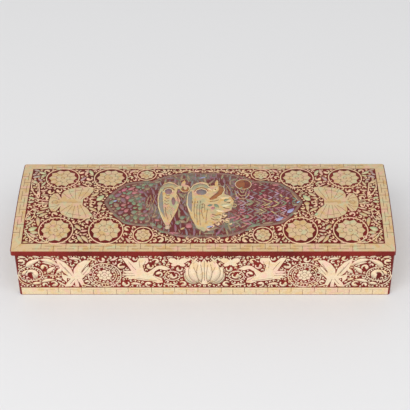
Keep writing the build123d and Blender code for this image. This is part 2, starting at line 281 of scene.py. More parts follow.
def lacquer(name, ground, deep, gloss, shadedTopFrom=None):
    # above the given height the lacquer is painted a deeper red, as painted shade on the lid's top, which
    # looks darker than the edge only through how the light falls
    material, tree, shader = newMaterial(name, shine=0.15)
    tones = placeGroup(tree, lacquerTones, {"Ground": tone(*ground), "Deep": tone(*deep), "Gloss": gloss})
    color = tones.outputs["Color"]
    if shadedTopFrom is not None:
        place = addNode(tree, "ShaderNodeTexCoord").outputs["Object"]
        height = addNode(tree, "ShaderNodeSeparateXYZ")
        tree.links.new(place, height.inputs[0])
        # painted shade: above that height the colour is multiplied darker and bluer
        top = softStep(tree, height.outputs["Z"], shadedTopFrom, shadedTopFrom + 0.2 * mm)
        color = mixColor(tree, top, color, mixColor(tree, 1.0, color, (0.66, 0.66, 0.8, 1.0), "MULTIPLY"))
    tree.links.new(color, shader.inputs["Base Color"])
    tree.links.new(tones.outputs["Roughness"], shader.inputs["Roughness"])
    addBump(tree, shader, tones.outputs["Height"], 0.00002)
    return material


def abalone():
    material, tree, shader = newMaterial("abaloneGround", roughness=0.32, coat=0.1, shine=0.3)
    place = addNode(tree, "ShaderNodeTexCoord").outputs["Object"]
    swirl = addNoise(tree, place, Scale=130.0, Detail=3.0, Distortion=1.2)
    clouds = addNoise(tree, place, Scale=70.0)
    ramp = addNode(tree, "ShaderNodeValToRGB")
    stops = ((0.30, (74, 26, 26)), (0.40, (108, 44, 38)), (0.47, (128, 78, 70)), (0.53, (106, 96, 80)),
             (0.60, (116, 116, 98)), (0.68, (138, 92, 98)), (0.78, (96, 38, 36)))
    for index, (spot, color) in enumerate(stops):
        stop = ramp.color_ramp.elements[index] if index < 2 else ramp.color_ramp.elements.new(spot)
        stop.position = spot
        stop.color = tone(*color)
    tree.links.new(swirl.outputs[0], ramp.inputs[0])
    color = mixColor(tree, softStep(tree, clouds.outputs[0], 0.4, 0.62), ramp.outputs[0], tone(100, 36, 34))
    # redder from the sun to the right tip, as red clouds
    across = addNode(tree, "ShaderNodeSeparateXYZ")
    tree.links.new(place, across.inputs[0])
    redder = softStep(tree, across.outputs["X"], 22.0 * mm, 30.0 * mm)
    color = mixColor(tree, redder, color, mixColor(tree, 0.72, color, tone(104, 26, 36)))
    tree.links.new(color, shader.inputs["Base Color"])
    addBump(tree, shader, swirl.outputs[0], 0.00004)
    return material


def grained(name, first, second, scale, roughness, metallic=0.0, sheen=0.0, depth=0.00005, shine=0.5):
    material, tree, shader = newMaterial(name, roughness=roughness, metallic=metallic, shine=shine)
    shader.inputs["Sheen Weight"].default_value = sheen
    place = addNode(tree, "ShaderNodeTexCoord").outputs["Object"]
    grain = addNoise(tree, place, Scale=scale, Detail=6.0)
    color = mixColor(tree, softStep(tree, grain.outputs[0], 0.3, 0.7), tone(*first), tone(*second))
    tree.links.new(color, shader.inputs["Base Color"])
    addBump(tree, shader, grain.outputs[0], depth)
    return material


redLacquer = lacquer("redLacquer", (134, 36, 28), (104, 24, 18), 0.3)
# the lid's lacquer, with painted shade on its top above the lowest point of the arch
lidLacquerShadedTop = lacquer("lidLacquerShadedTop", (134, 36, 28), (104, 24, 18), 0.3, archZ(lidWidth / 2) + 0.1 * mm)
darkLacquer = lacquer("darkLacquer", (66, 26, 24), (44, 16, 16), 0.4)
# ground, green, pink and gold of each kind of shell, then the scales of its slips and clouds
shellTones = {
    "lid": ((203, 175, 133), (190, 184, 143), (212, 168, 142), (199, 163, 108), 230.0, 170.0),
    "case": ((246, 222, 188), (236, 222, 186), (248, 208, 186), (242, 210, 162), 230.0, 150.0),
    "band": ((238, 214, 174), (230, 216, 174), (240, 202, 174), (236, 204, 148), 230.0, 170.0),
    "bird": ((204, 178, 128), (172, 168, 128), (208, 156, 132), (206, 162, 94), 420.0, 150.0),
    "sun": ((132, 66, 28), (138, 78, 32), (118, 46, 22), (150, 84, 34), 260.0, 120.0),
    "sunRed": ((106, 28, 16), (112, 36, 18), (96, 20, 18), (116, 42, 20), 260.0, 120.0),
    "pinkCream": ((230, 192, 152), (212, 196, 154), (234, 184, 158), (226, 190, 140), 260.0, 150.0),
    "cream": ((230, 206, 162), (206, 204, 164), (236, 196, 170), (226, 194, 140), 260.0, 150.0),
    "paleGreen": ((196, 194, 146), (170, 196, 150), (204, 184, 148), (196, 182, 130), 300.0, 160.0),
    "palePink": ((212, 166, 142), (200, 176, 146), (214, 156, 148), (214, 168, 130), 300.0, 160.0),
    "paleLilac": ((184, 158, 146), (170, 170, 152), (192, 146, 150), (190, 160, 132), 300.0, 160.0),
    "moss": ((120, 138, 108), (92, 130, 114), (142, 132, 114), (146, 144, 96), 320.0, 170.0),
    "rose": ((184, 112, 116), (158, 118, 112), (194, 100, 128), (178, 118, 98), 320.0, 170.0),
    "plum": ((138, 98, 110), (120, 112, 112), (152, 86, 116), (140, 102, 94), 320.0, 170.0),
    "grey": ((132, 116, 124), (124, 124, 118), (140, 108, 124), (144, 122, 104), 320.0, 170.0),
    "lilac": ((156, 160, 196), (148, 184, 194), (176, 130, 190), (164, 164, 184), 300.0, 160.0),
    "mauve": ((172, 138, 158), (160, 150, 158), (188, 122, 156), (172, 146, 140), 300.0, 170.0),
    "red": ((126, 52, 58), (116, 58, 56), (140, 44, 70), (124, 60, 52), 320.0, 170.0),
    "olive": ((160, 148, 116), (144, 146, 122), (170, 146, 122), (168, 150, 104), 300.0, 150.0),
    "stone": ((140, 130, 122), (128, 134, 128), (148, 128, 134), (146, 136, 112), 300.0, 150.0),
    "tan": ((154, 130, 100), (134, 132, 104), (160, 118, 100), (160, 134, 92), 300.0, 170.0),
    "gold": ((196, 168, 118), (172, 164, 122), (200, 150, 120), (202, 160, 92), 300.0, 170.0),
    "rim": ((132, 98, 82), (114, 112, 92), (142, 88, 84), (128, 80, 62), 260.0, 150.0),
    "ember": ((150, 88, 40), (150, 84, 42), (130, 56, 34), (160, 100, 46), 260.0, 120.0),
}
shell = {kind: nacre(f"{kind}Shell", *tones) for kind, tones in shellTones.items()}
abaloneGround = abalone()
brass = grained("brass", (206, 168, 92), (186, 146, 78), 800.0, 0.3, metallic=1.0)
velvet = grained("velvet", (112, 16, 30), (74, 8, 18), 2200.0, 0.9, sheen=0.12, depth=0.0002, shine=0.1)
engraved = grained("engravedLine", (128, 82, 56), (106, 60, 42), 600.0, 0.5)

finishOf = {
    "lacquered_wood": redLacquer,
    "bottom_board": darkLacquer,
    "lid_shell": shell["lid"],
    "case_shell": shell["case"],
    "abalone_shell": abaloneGround,
    "sun_shell": shell["sun"],
    "brass": brass,
    "lining": velvet,
}


def wear(piece, material):
    piece.data.materials.clear()
    piece.data.materials.append(material)


for subpart in frame["record"]["subparts"]:
    wear(nodes[subpart["node"]], finishOf[subpart["material_slot"]])
for name in ("lid_rear_bird", "lid_front_bird"):
    wear(nodes[name], shell["bird"])
wear(nodes["front_fret_band"], shell["band"])
wear(nodes["lid_board"], lidLacquerShadedTop)
print("materials on", len(nodes), "nodes")


# ornament: strokes of shell are drawn in mm on the flat, then laid on the lid or a side
# a stroke is a list of (x, y, width), and a closed one ends where it starts
# places in lidRunners, lidLeaves, medallionWork and birdWork were read off the picture by eye, and many of
# their rows were then worked out and printed by another program
strokeShapes = {
    "curlWinding": 4.9,            # radians from the tail to the head
    "curlReach": (0.82, 0.5),      # of its size: at the tail, and how much closer the head lies
    "curlWidth": (0.25, 0.75),     # of its size: at the tail, and how much wider the head is
    "curlSwell": 1.2,
    "leafTip": 0.12,               # of its width
    "leafFullness": 0.8,
    "dropWidth": 1.4,              # of half its length
    "dropBow": 0.2,
    "petalCut": (0.5, 0.68, 0.84),     # of the blossom's radius, as are the next three
    "innerPetalReach": 0.27,
    "innerPetalRadius": 0.25,
    "eyeRadius": 0.13,
    "innerPetalTurn": 100,         # degrees to each side
}


def curl(x, y, size, turn, hand=1, steps=8):
    # a fat comma: a tail that winds in to a round head
    farthest, closing = strokeShapes["curlReach"]
    thinnest, widening = strokeShapes["curlWidth"]
    points = []
    for k in range(steps + 1):
        way = k / steps
        angle = math.radians(turn) + hand * way * strokeShapes["curlWinding"]
        reach = size * (farthest - closing * way)
        points.append((x + reach * math.cos(angle), y + reach * math.sin(angle),
                       size * (thinnest + widening * way ** strokeShapes["curlSwell"])))
    return points


def leaf(x0, y0, x1, y1, width, bow=0.0, steps=6):
    # pointed at both ends and widest before the middle; bow bends it sideways
    length = math.hypot(x1 - x0, y1 - y0)
    sideX, sideY = -(y1 - y0) / length, (x1 - x0) / length
    fullness = strokeShapes["leafFullness"]
    points = []
    for k in range(steps + 1):
        way = k / steps
        swell = 4 * way * (1 - way)
        points.append((x0 + (x1 - x0) * way + sideX * bow * swell, y0 + (y1 - y0) * way + sideY * bow * swell,
                       width * max(strokeShapes["leafTip"], math.sin(math.pi * way ** fullness) ** fullness)))
    return points


def drop(x, y, size, turn):
    # a short petal round its middle
    alongX, alongY = size * math.cos(math.radians(turn)), size * math.sin(math.radians(turn))
    return leaf(x - alongX, y - alongY, x + alongX, y + alongY, size * strokeShapes["dropWidth"],
                strokeShapes["dropBow"] * size, 5)


def beads(x, y, reach, size, turns):
    # drops on a circle round a point, each one pointing away from it
    row = []
    for degrees in turns:
        turn = math.radians(degrees)
        row.append(drop(x + reach * math.cos(turn), y + reach * math.sin(turn), size, degrees))
    return row


def disc(x, y, halfX, halfY, steps=8):
    turns = [math.pi * k / steps for k in range(steps + 1)]
    return [(x - halfX * math.cos(turn), y, max(0.02, 2 * halfY * math.sin(turn))) for turn in turns]


def ring(x, y, radius, width, flat=1.0, steps=30):
    turns = [2 * math.pi * k / steps for k in range(steps + 1)]
    return [(x + radius * math.cos(turn), y + radius * flat * math.sin(turn), width) for turn in turns]


def arc(x, y, radius, start, end, width, thin=1.0, steps=12):
    # thin is how much of its width is left at the end
    points = []
    for k in range(steps + 1):
        way = k / steps
        turn = math.radians(start + (end - start) * way)
        points.append((x + radius * math.cos(turn), y + radius * math.sin(turn),
                       width * (1 - way * (1 - thin))))
    return points


def line(points, width):
    return [(x, y, width) for x, y in points]


def mirrored(strokes, alsoUp=False):
    # the strokes with their mirror images, left to right and where asked also low to high
    everything = list(strokes)
    everything += [[(-x, y, width) for x, y, width in stroke] for stroke in everything]
    if alsoUp:
        everything += [[(x, -y, width) for x, y, width in stroke] for stroke in everything]
    return everything


def petalLines(x, y, radius, petals, width):
    # the cuts between the petals, a smaller row of petals inside them, and the eye
    strokes = []
    for k in range(petals):
        turn = math.radians(360 * (k + 0.5) / petals)
        strokes.append(line([(x + radius * way * math.cos(turn), y + radius * way * math.sin(turn))
                             for way in strokeShapes["petalCut"]], width))
    inner = petals // 2
    reach, innerRadius = strokeShapes["innerPetalReach"] * radius, strokeShapes["innerPetalRadius"] * radius
    halfTurn = strokeShapes["innerPetalTurn"]
    for k in range(inner):
        middle = math.radians(360 * k / inner)
        facing = math.degrees(middle)
        strokes.append(arc(x + reach * math.cos(middle), y + reach * math.sin(middle),
                           innerRadius, facing - halfTurn, facing + halfTurn, width))
    strokes.append(ring(x, y, strokeShapes["eyeRadius"] * radius, width, steps=10))
    return strokes


def layStrokes(name, strokes, place, material, body, lift, thickness=0.3):
    # each stroke is a curve with its width as radius, made a flat ribbon and laid in place
    drawing = bpy.data.curves.new(name, "CURVE")
    drawing.dimensions = "3D"
    drawing.twist_mode = "Z_UP"
    drawing.extrude = 0.5
    for stroke in strokes:
        closed = len(stroke) > 3 and math.dist(stroke[0][:2], stroke[-1][:2]) < 1e-6
        points = stroke[:-1] if closed else stroke
        spline = drawing.splines.new("POLY")
        spline.points.add(len(points) - 1)
        for point, (x, y, width) in zip(spline.points, points):
            point.co = (x, y, 0.0, 1.0)
            point.radius = width
            point.tilt = math.pi / 2
        spline.use_cyclic_u = closed
    piece = bpy.data.objects.new(name, drawing)
    scene.collection.objects.link(piece)
    bpy.ops.object.select_all(action="DESELECT")
    piece.select_set(True)
    bpy.context.view_layer.objects.active = piece
    bpy.ops.object.convert(target="MESH")
    for vertex in piece.data.vertices:
        vertex.co = place(vertex.co.x, vertex.co.y, lift * mm)
    wall = piece.modifiers.new("slipThickness", "SOLIDIFY")
    wall.thickness = thickness * mm
    wall.offset = 0.0
    bpy.ops.object.modifier_apply(modifier=wall.name)
    bpy.ops.object.mode_set(mode="EDIT")
    bpy.ops.mesh.select_all(action="SELECT")
    bpy.ops.mesh.normals_make_consistent(inside=False)
    bpy.ops.object.mode_set(mode="OBJECT")
    piece.select_set(False)
    wear(piece, material)
    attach(piece, body)
    print(name, len(strokes), "strokes", len(piece.data.polygons), "faces")


def layOnCase(name, strokes, place, lift):
    layStrokes(name, strokes, place, shell["case"], "case", lift)


def layOnLid(name, strokes, material, lift):
    layStrokes(name, strokes, onLid, material, "lid", lift)


def engrave(name, strokes, place, body):
    layStrokes(name, strokes, place, engraved, body, lift=0.02, thickness=0.06)


# where the plates of the frame lie in a flat drawing, so that the filling keeps clear of them
def flatOnLid(point):
    return ((point.x - lidCentreX) / mm, point.y / mm)


def flatOnFront(point):
    return (point.x / mm, point.z / mm)


def flatOnBack(point):
    return (-point.x / mm, point.z / mm)


def flatOnLeft(point):
    return (-point.y / mm, point.z / mm)


def flatOnRight(point):
    return (point.y / mm, point.z / mm)


def plateFinder(names, place):
    # tells whether a spot of the drawing is over one of the plates
    depths = bpy.context.evaluated_depsgraph_get()
    trees = [BVHTree.FromObject(nodes[name], depths) for name in names]
    inward = (place(0, 20, 0) - place(0, 20, mm)).normalized()
    above, reach = 5 * mm, 10 * mm

    def overPlate(x, y):
        start = place(x, y, above)
        return any(tree.ray_cast(start, inward, reach)[0] is not None for tree in trees)

    return overPlate


def plateEdges(names, flatten, spacing=0.7):
    # points along the outlines of the plates
    points = []
    for name in names:
        mesh = nodes[name].data
        for edge in mesh.edges:
            first, second = (Vector(flatten(mesh.vertices[index].co)) for index in edge.vertices)
            parts = max(1, int((second - first).length / spacing))
            points += [(*first.lerp(second, k / parts), 0.0) for k in range(parts + 1)]
    return points


def strokeSpots(strokes):
    return [(x, y, width / 2) for stroke in strokes for x, y, width in stroke]


def fillGround(setup, overPlate, blocked):
    # a grid holds the room round each point; the largest spots go in first, where there is room
    step = 0.5
    widest = 6.0       # mm, more than the room that any spot asks for
    stretch = 1.2      # how much larger than its size class a spot may be
    left, right = setup["across"]
    low, high = setup["up"]
    columns = np.arange(left, right, step)
    rows = np.arange(low, high, step)
    gridX, gridY = np.meshgrid(columns, rows)
    room = np.minimum(np.minimum(gridX - left, right + setup["overMiddle"] - gridX),
                      np.minimum(gridY - low, high - gridY))
    for row in range(len(rows)):
        for column in range(len(columns)):
            if overPlate(columns[column], rows[row]):
                room[row, column] = 0.0

    def takeRoom(x, y, reach):
        far = reach + widest
        firstColumn, firstRow = max(0, int((x - far - left) / step)), max(0, int((y - far - low) / step))
        lastColumn, lastRow = int((x + far - left) / step) + 1, int((y + far - low) / step) + 1
        if lastColumn <= 0 or lastRow <= 0:
            return
        part = (slice(firstRow, lastRow), slice(firstColumn, lastColumn))
        room[part] = np.minimum(room[part], np.hypot(gridX[part] - x, gridY[part] - y) - reach)

    for x, y, reach in blocked:
        takeRoom(x, y, reach)
    randomly = random.Random(setup["seed"])
    spots = []
    for radius in setup["sizes"]:
        while True:
            free = np.argwhere(room >= radius + setup["gap"])
            if not len(free):
                break
            row, column = free[randomly.randrange(len(free))]
            size = min(room[row, column] - setup["gap"], radius * stretch)
            x, y = float(columns[column]), float(rows[row])
            spots.append((x, y, float(size)))
            takeRoom(x, y, size)
    return spots


def fillStrokes(setup, spots):
    fineFrom = 1.8     # mm, above which a curl has more points
    randomly = random.Random(setup["seed"] + 1)
    strokes = []
    for x, y, size in spots:
        turn = randomly.uniform(0, 360)
        if size > setup["curlFrom"]:
            strokes.append(curl(x, y, size, turn, randomly.choice((-1, 1)), 8 if size > fineFrom else 6))
        else:
            strokes.append(drop(x, y, size, turn))
    return strokes


# a roundel's beads: their distance from its middle, their size and the degrees at which they lie
roundelBeads = (11.2, 0.9, range(18, 360, 36))
# the radius and the number of its engraved petals
roundelPetals = (6.2, 8)

# front: what lies round the plates of the frame, drawn on the left and mirrored
frontOrnament = {
    "plates": ["front_lotus", "front_butterflies", "front_cranes", "front_roundels", "front_blade_sprays"],
    "lift": 0.03,
    "petalStep": 0.02,           # how much higher each petal of the lotus lies than the one outside it
    "lineWidth": 0.3,
    "roundel": (79.0, 22.0),
    "ringRadii": (13.0, 9.4),
    "smallRing": (25.3, 21.4, 6.0),
    "endFlower": (137.4, 23.6),
    "fill": {"seed": 7, "gap": 0.28, "curlFrom": 1.2, "across": (-147.2, 0.0), "up": (8.4, 43.9),
             "overMiddle": 0.6, "sizes": (3.0, 2.4, 1.8, 1.3, 0.9, 0.6)},
    # broad petals that round the lotus of the frame, from the outermost in
    "lotusPetals": (leaf(-6.0, 12.6, -15.6, 24.6, 5.4, 2.4), leaf(-6.0, 13.0, -13.4, 30.6, 6.6, 2.6),
                    leaf(-4.6, 13.6, -9.6, 35.2, 7.2, 2.4), leaf(-2.6, 14.0, -3.4, 38.0, 5.0, 1.0)),
}


def frontStrokes(setup):
    roundelX, roundelY = -setup["roundel"][0], setup["roundel"][1]
    outer, inner = setup["ringRadii"]
    ringX, ringY, ringRadius = -setup["smallRing"][0], setup["smallRing"][1], setup["smallRing"][2]
    flowerX, flowerY = -setup["endFlower"][0], setup["endFlower"][1]
    strokes = [
        ring(roundelX, roundelY, outer, 0.9), ring(roundelX, roundelY, inner, 0.7),
        ring(ringX, ringY, ringRadius, 0.8, 0.85), curl(ringX + 0.6, ringY, 3.6, 40, -1),
        drop(ringX - 2.6, ringY - 0.6, 1.5, 70), ring(flowerX, flowerY, 9.4, 0.8, 0.8),
        curl(flowerX + 1.2, flowerY - 0.4, 6.0, 200, -1, 10),
        arc(flowerX, flowerY - 2.5, 10.2, 172, 262, 0.8, 0.7),
        leaf(flowerX - 6.6, flowerY - 1.4, flowerX - 1.6, flowerY + 4.2, 3.0, 0.6),
        leaf(-140.5, 30.4, -128.6, 39.4, 4.4, 1.6), leaf(-128.4, 39.4, -114.6, 32.5, 4.4, 1.5),
        leaf(-127.4, 36.4, -117.4, 31.6, 1.3, 0.8), curl(-143.4, 37.0, 3.3, 250, 1),
        leaf(-145.6, 42.2, -139.4, 41.4, 2.2, 0.4), leaf(-134.4, 42.8, -128.4, 41.6, 1.8, 0.3),
        leaf(-126.2, 42.2, -119.2, 40.4, 2.2, 0.7), curl(-117.6, 39.4, 2.2, 10, -1),
        leaf(-124.0, 24.2, -117.4, 31.2, 3.6, 0.9), leaf(-117.0, 24.4, -112.6, 30.8, 3.4, -0.7),
        leaf(-128.0, 22.0, -109.6, 21.4, 0.8, 0.4), leaf(-129.6, 14.4, -118.8, 16.8, 3.2, 0.9),
        leaf(-137.0, 12.4, -129.8, 13.4, 2.8, 0.3), leaf(-118.0, 18.6, -113.0, 16.0, 2.2, 0.3),
        leaf(-145.6, 19.4, -141.8, 14.4, 2.6, 0.4), leaf(-116.6, 15.2, -109.0, 9.6, 1.5, -0.5),
        leaf(-96.0, 22.4, -88.6, 24.4, 0.9, 0.3), leaf(-97.4, 12.6, -89.4, 9.8, 1.4, -0.6),
        leaf(-105.6, 40.6, -96.8, 39.6, 2.6, 0.5), curl(-103.6, 33.6, 2.2, 120, 1),
        leaf(-90.4, 41.6, -84.0, 38.4, 2.0, -0.5), leaf(-73.6, 38.4, -67.4, 42.0, 2.0, -0.5),
        leaf(-32.4, 12.0, -20.0, 9.8, 1.6, 0.6), leaf(-58.6, 12.8, -50.0, 11.4, 2.4, 0.6),
        curl(-38.0, 37.6, 3.2, 170, -1), curl(-31.0, 37.2, 2.6, 20, 1),
        leaf(-29.4, 42.6, -24.0, 42.0, 1.4, 0.2), curl(-11.0, 38.8, 2.8, 300, 1),
        leaf(-8.6, 35.0, -4.6, 42.4, 1.8, 0.4),
    ]
    return strokes + beads(roundelX, roundelY, *roundelBeads)


def petalCuts(petal, width):
    # a cut just inside each long side of a petal
    cuts = []
    for side in (-1, 1):
        points = []
        for k, (x, y, across) in enumerate(petal[:-1]):
            before, after = petal[max(0, k - 1)], petal[k + 1]
            length = math.dist(before[:2], after[:2])
            reach = side * max(0.0, across / 2 - width)
            points.append((x - (after[1] - before[1]) / length * reach,
                           y + (after[0] - before[0]) / length * reach))
        cuts.append(line(points, width))
    return cuts


def frontLines(setup):
    # engraved: petals of the roundels and the lotus, wing bars of the cranes, ribs of the blades
    width = setup["lineWidth"]
    roundelX, roundelY = setup["roundel"]
    strokes = petalLines(-roundelX, roundelY, *roundelPetals, width)
    strokes.append(line([(0.0, 16.0), (0.0, 27.0), (0.0, 38.0)], width))
    bars = (
        (-64.0, 24.6, -56.0, 24.0), (-64.0, 21.6, -55.0, 21.6), (-59.4, 37.0, -54.0, 28.0),
        (-51.0, 37.6, -50.6, 30.0), (-46.0, 37.4, -48.4, 31.0), (-54.0, 18.6, -38.0, 15.6),
        (-39.0, 20.0, -34.0, 15.6), (-113.6, 36.0, -107.0, 24.0), (-110.0, 31.0, -105.0, 21.6),
        (-92.4, 34.6, -97.6, 25.0), (-90.8, 30.0, -96.0, 22.6), (-99.6, 10.4, -101.0, 18.0),
        (-107.0, 12.0, -103.0, 18.0),
    )
    for x0, y0, x1, y1 in bars:
        strokes.append(line([(x0, y0), ((x0 + x1) / 2, (y0 + y1) / 2), (x1, y1)], width))
    return strokes


def decorateFront(setup):
    motifs = frontStrokes(setup)
    petals = setup["lotusPetals"]
    blocked = plateEdges(setup["plates"], flatOnFront) + strokeSpots(mirrored(motifs + list(petals)))
    spots = fillGround(setup["fill"], plateFinder(setup["plates"], onFront), blocked)
    layOnCase("front_scrolls", mirrored(motifs), onFront, setup["lift"])
    layOnCase("front_filling", mirrored(fillStrokes(setup["fill"], spots)), onFront, setup["lift"])
    for layer, petal in enumerate(petals):
        lift = setup["lift"] + setup["petalStep"] * layer
        cuts = petalCuts(petal, setup["lineWidth"])
        layOnCase(f"lotus_petals_{layer + 1}", mirrored([petal]), onFront, lift)
        layStrokes(f"lotus_cuts_{layer + 1}", mirrored(cuts), onFront, engraved, "case",
                   lift + setup["petalStep"] / 2)
    engrave("front_engraving", mirrored(frontLines(setup)), onFront, "case")


decorateFront(frontOrnament)

# lid: rings, leaves and vines for the left half, then mirrored to the right
lidOrnament = {
    "plates": ["lid_large_blossoms", "lid_small_blossoms", "lid_butterflies", "lid_medallion_ground",
               "lid_rear_bird", "lid_front_bird", "lid_sun"],
    "lift": 0.03,
    "lineWidth": 0.26,
    "large": ((-116.0, 31.4), (-76.5, 31.4), (-116.0, -31.4), (-76.5, -31.4)),
    "largeRadius": 11.6,
    "largeRing": (13.5, 0.9),
    "largeBeads": (12.4, 0.6),
    "small": ((-47.0, 36.0), (-47.0, -36.0)),
    "smallRadius": 6.4,
    "smallRing": (7.8, 0.8),
    "fill": {"seed": 11, "gap": 0.2, "curlFrom": 1.2, "across": (-141.4, 0.0), "up": (-44.6, 44.6),
             "overMiddle": 0.6, "sizes": (2.8, 2.1, 1.6, 1.2, 0.85)},
}


def lidRunners(setup):
    # rings round the blossoms, vines, and the scrolls that run along the long edges
    strokes = [ring(x, y, *setup["largeRing"]) for x, y in setup["large"]]
    strokes += [ring(x, y, *setup["smallRing"]) for x, y in setup["small"]]
    # a row of beads between each large blossom and its ring, on the side towards the middle of the lid
    for x, y in setup["large"]:
        hand = 1 if y < 0 else -1
        strokes += beads(x, y, *setup["largeBeads"], [hand * turn for turn in range(20, 161, 14)])
    strokes += [
        line([(-134.0, -6.4), (-134.2, -10.8), (-134.5, -15.1), (-136.3, -19.0), (-139.7, -20.4)], 0.8),
        line([(-134.4, -7.1), (-138.2, -10.4), (-140.3, -14.0), (-141.0, -20.4)], 0.7),
        line([(-141.0, -30.4), (-137.0, -36.8), (-132.6, -41.3), (-128.4, -43.5), (-119.8, -44.1)], 0.9),
        line([(-138.0, -36.8), (-135.5, -39.7), (-135.8, -43.8)], 0.7),
        ring(-126.8, -38.7, 1.3, 0.8, steps=12), ring(-121.4, -41.4, 1.2, 0.8, steps=12),
        line([(-99.3, -23.5), (-96.1, -21.4), (-92.8, -18.6), (-89.3, -16.6), (-84.4, -15.0)], 0.8),
        line([(-83.7, -10.1), (-84.7, -14.6), (-87.1, -16.4)], 0.7),
        line([(-39.4, -37.5), (-33.6, -35.9), (-29.3, -38.3), (-28.9, -42.5)], 0.8),
        line([(-27.0, -38.2), (-25.4, -40.4), (-22.6, -43.6)], 0.6),
        line([(-22.8, -38.0), (-25.4, -40.4), (-27.6, -43.8)], 0.6),
        line([(-58.6, -40.4), (-51.5, -44.2), (-43.4, -43.9)], 0.8), ring(-56.7, -38.6, 1.3, 0.8, steps=12),
        line([(-12.6, -43.6), (-9.6, -40.6), (-6.0, -38.9), (-2.6, -40.4), (0.0, -43.4)], 0.7),
        ring(-37.6, -36.0, 1.2, 0.7, steps=12),
        line([(-141.0, 29.4), (-140.4, 18.5), (-138.2, 12.7), (-132.7, 5.0)], 0.9),
        line([(-139.0, 27.1), (-134.9, 23.6), (-133.9, 16.4), (-132.6, 6.6)], 0.9),
        line([(-99.3, 23.5), (-96.1, 21.4), (-92.8, 18.6), (-89.3, 16.6), (-84.4, 15.0)], 0.8),
        line([(-39.4, 37.5), (-33.6, 38.6), (-29.3, 41.0), (-28.9, 44.0)], 0.8),
        line([(-58.6, 40.4), (-53.0, 43.9), (-46.0, 44.2)], 0.8),
        line([(-26.0, 40.4), (-20.0, 39.6), (-14.0, 42.0), (-8.0, 40.0), (-2.0, 42.0)], 0.8),
        line([(-93.0, 3.8), (-86.7, 5.0)], 0.6), line([(-92.3, 1.1), (-86.4, 0.7)], 0.6),
        line([(-92.2, -1.2), (-86.7, -2.0)], 0.6), line([(-124.8, 2.0), (-130.0, 2.4), (-137.0, 4.6)], 0.9),
        line([(-124.8, -2.0), (-130.0, -2.4), (-137.0, -4.0)], 0.9),
        line([(-125.0, 0.0), (-133.0, -0.8)], 0.8),
    ]
    curls = (
        (-33.2, -41.0, 3.2, 150, -1), (-19.6, -41.2, 2.8, 190, 1), (-12.0, -39.6, 1.8, 60, 1),
        (-103.2, -41.9, 2.2, 90, 1), (-5.4, -42.2, 1.9, 300, 1), (-33.4, 41.8, 2.4, 200, 1),
        (-19.8, 42.4, 1.9, 200, 1), (-94.6, -25.2, 1.9, 30, 1), (-137.8, -13.7, 1.9, 0, 1),
        (-85.5, 19.0, 2.2, 60, 1), (-81.4, 16.2, 1.7, 80, -1), (-77.4, 15.4, 1.6, 80, -1),
        (-82.1, -16.0, 1.8, 200, 1), (-77.6, -15.4, 1.6, 200, 1), (-87.0, -13.2, 1.5, 200, 1),
        (-95.5, 25.4, 1.8, 20, 1),
    )
    return strokes + [curl(*values) for values in curls]


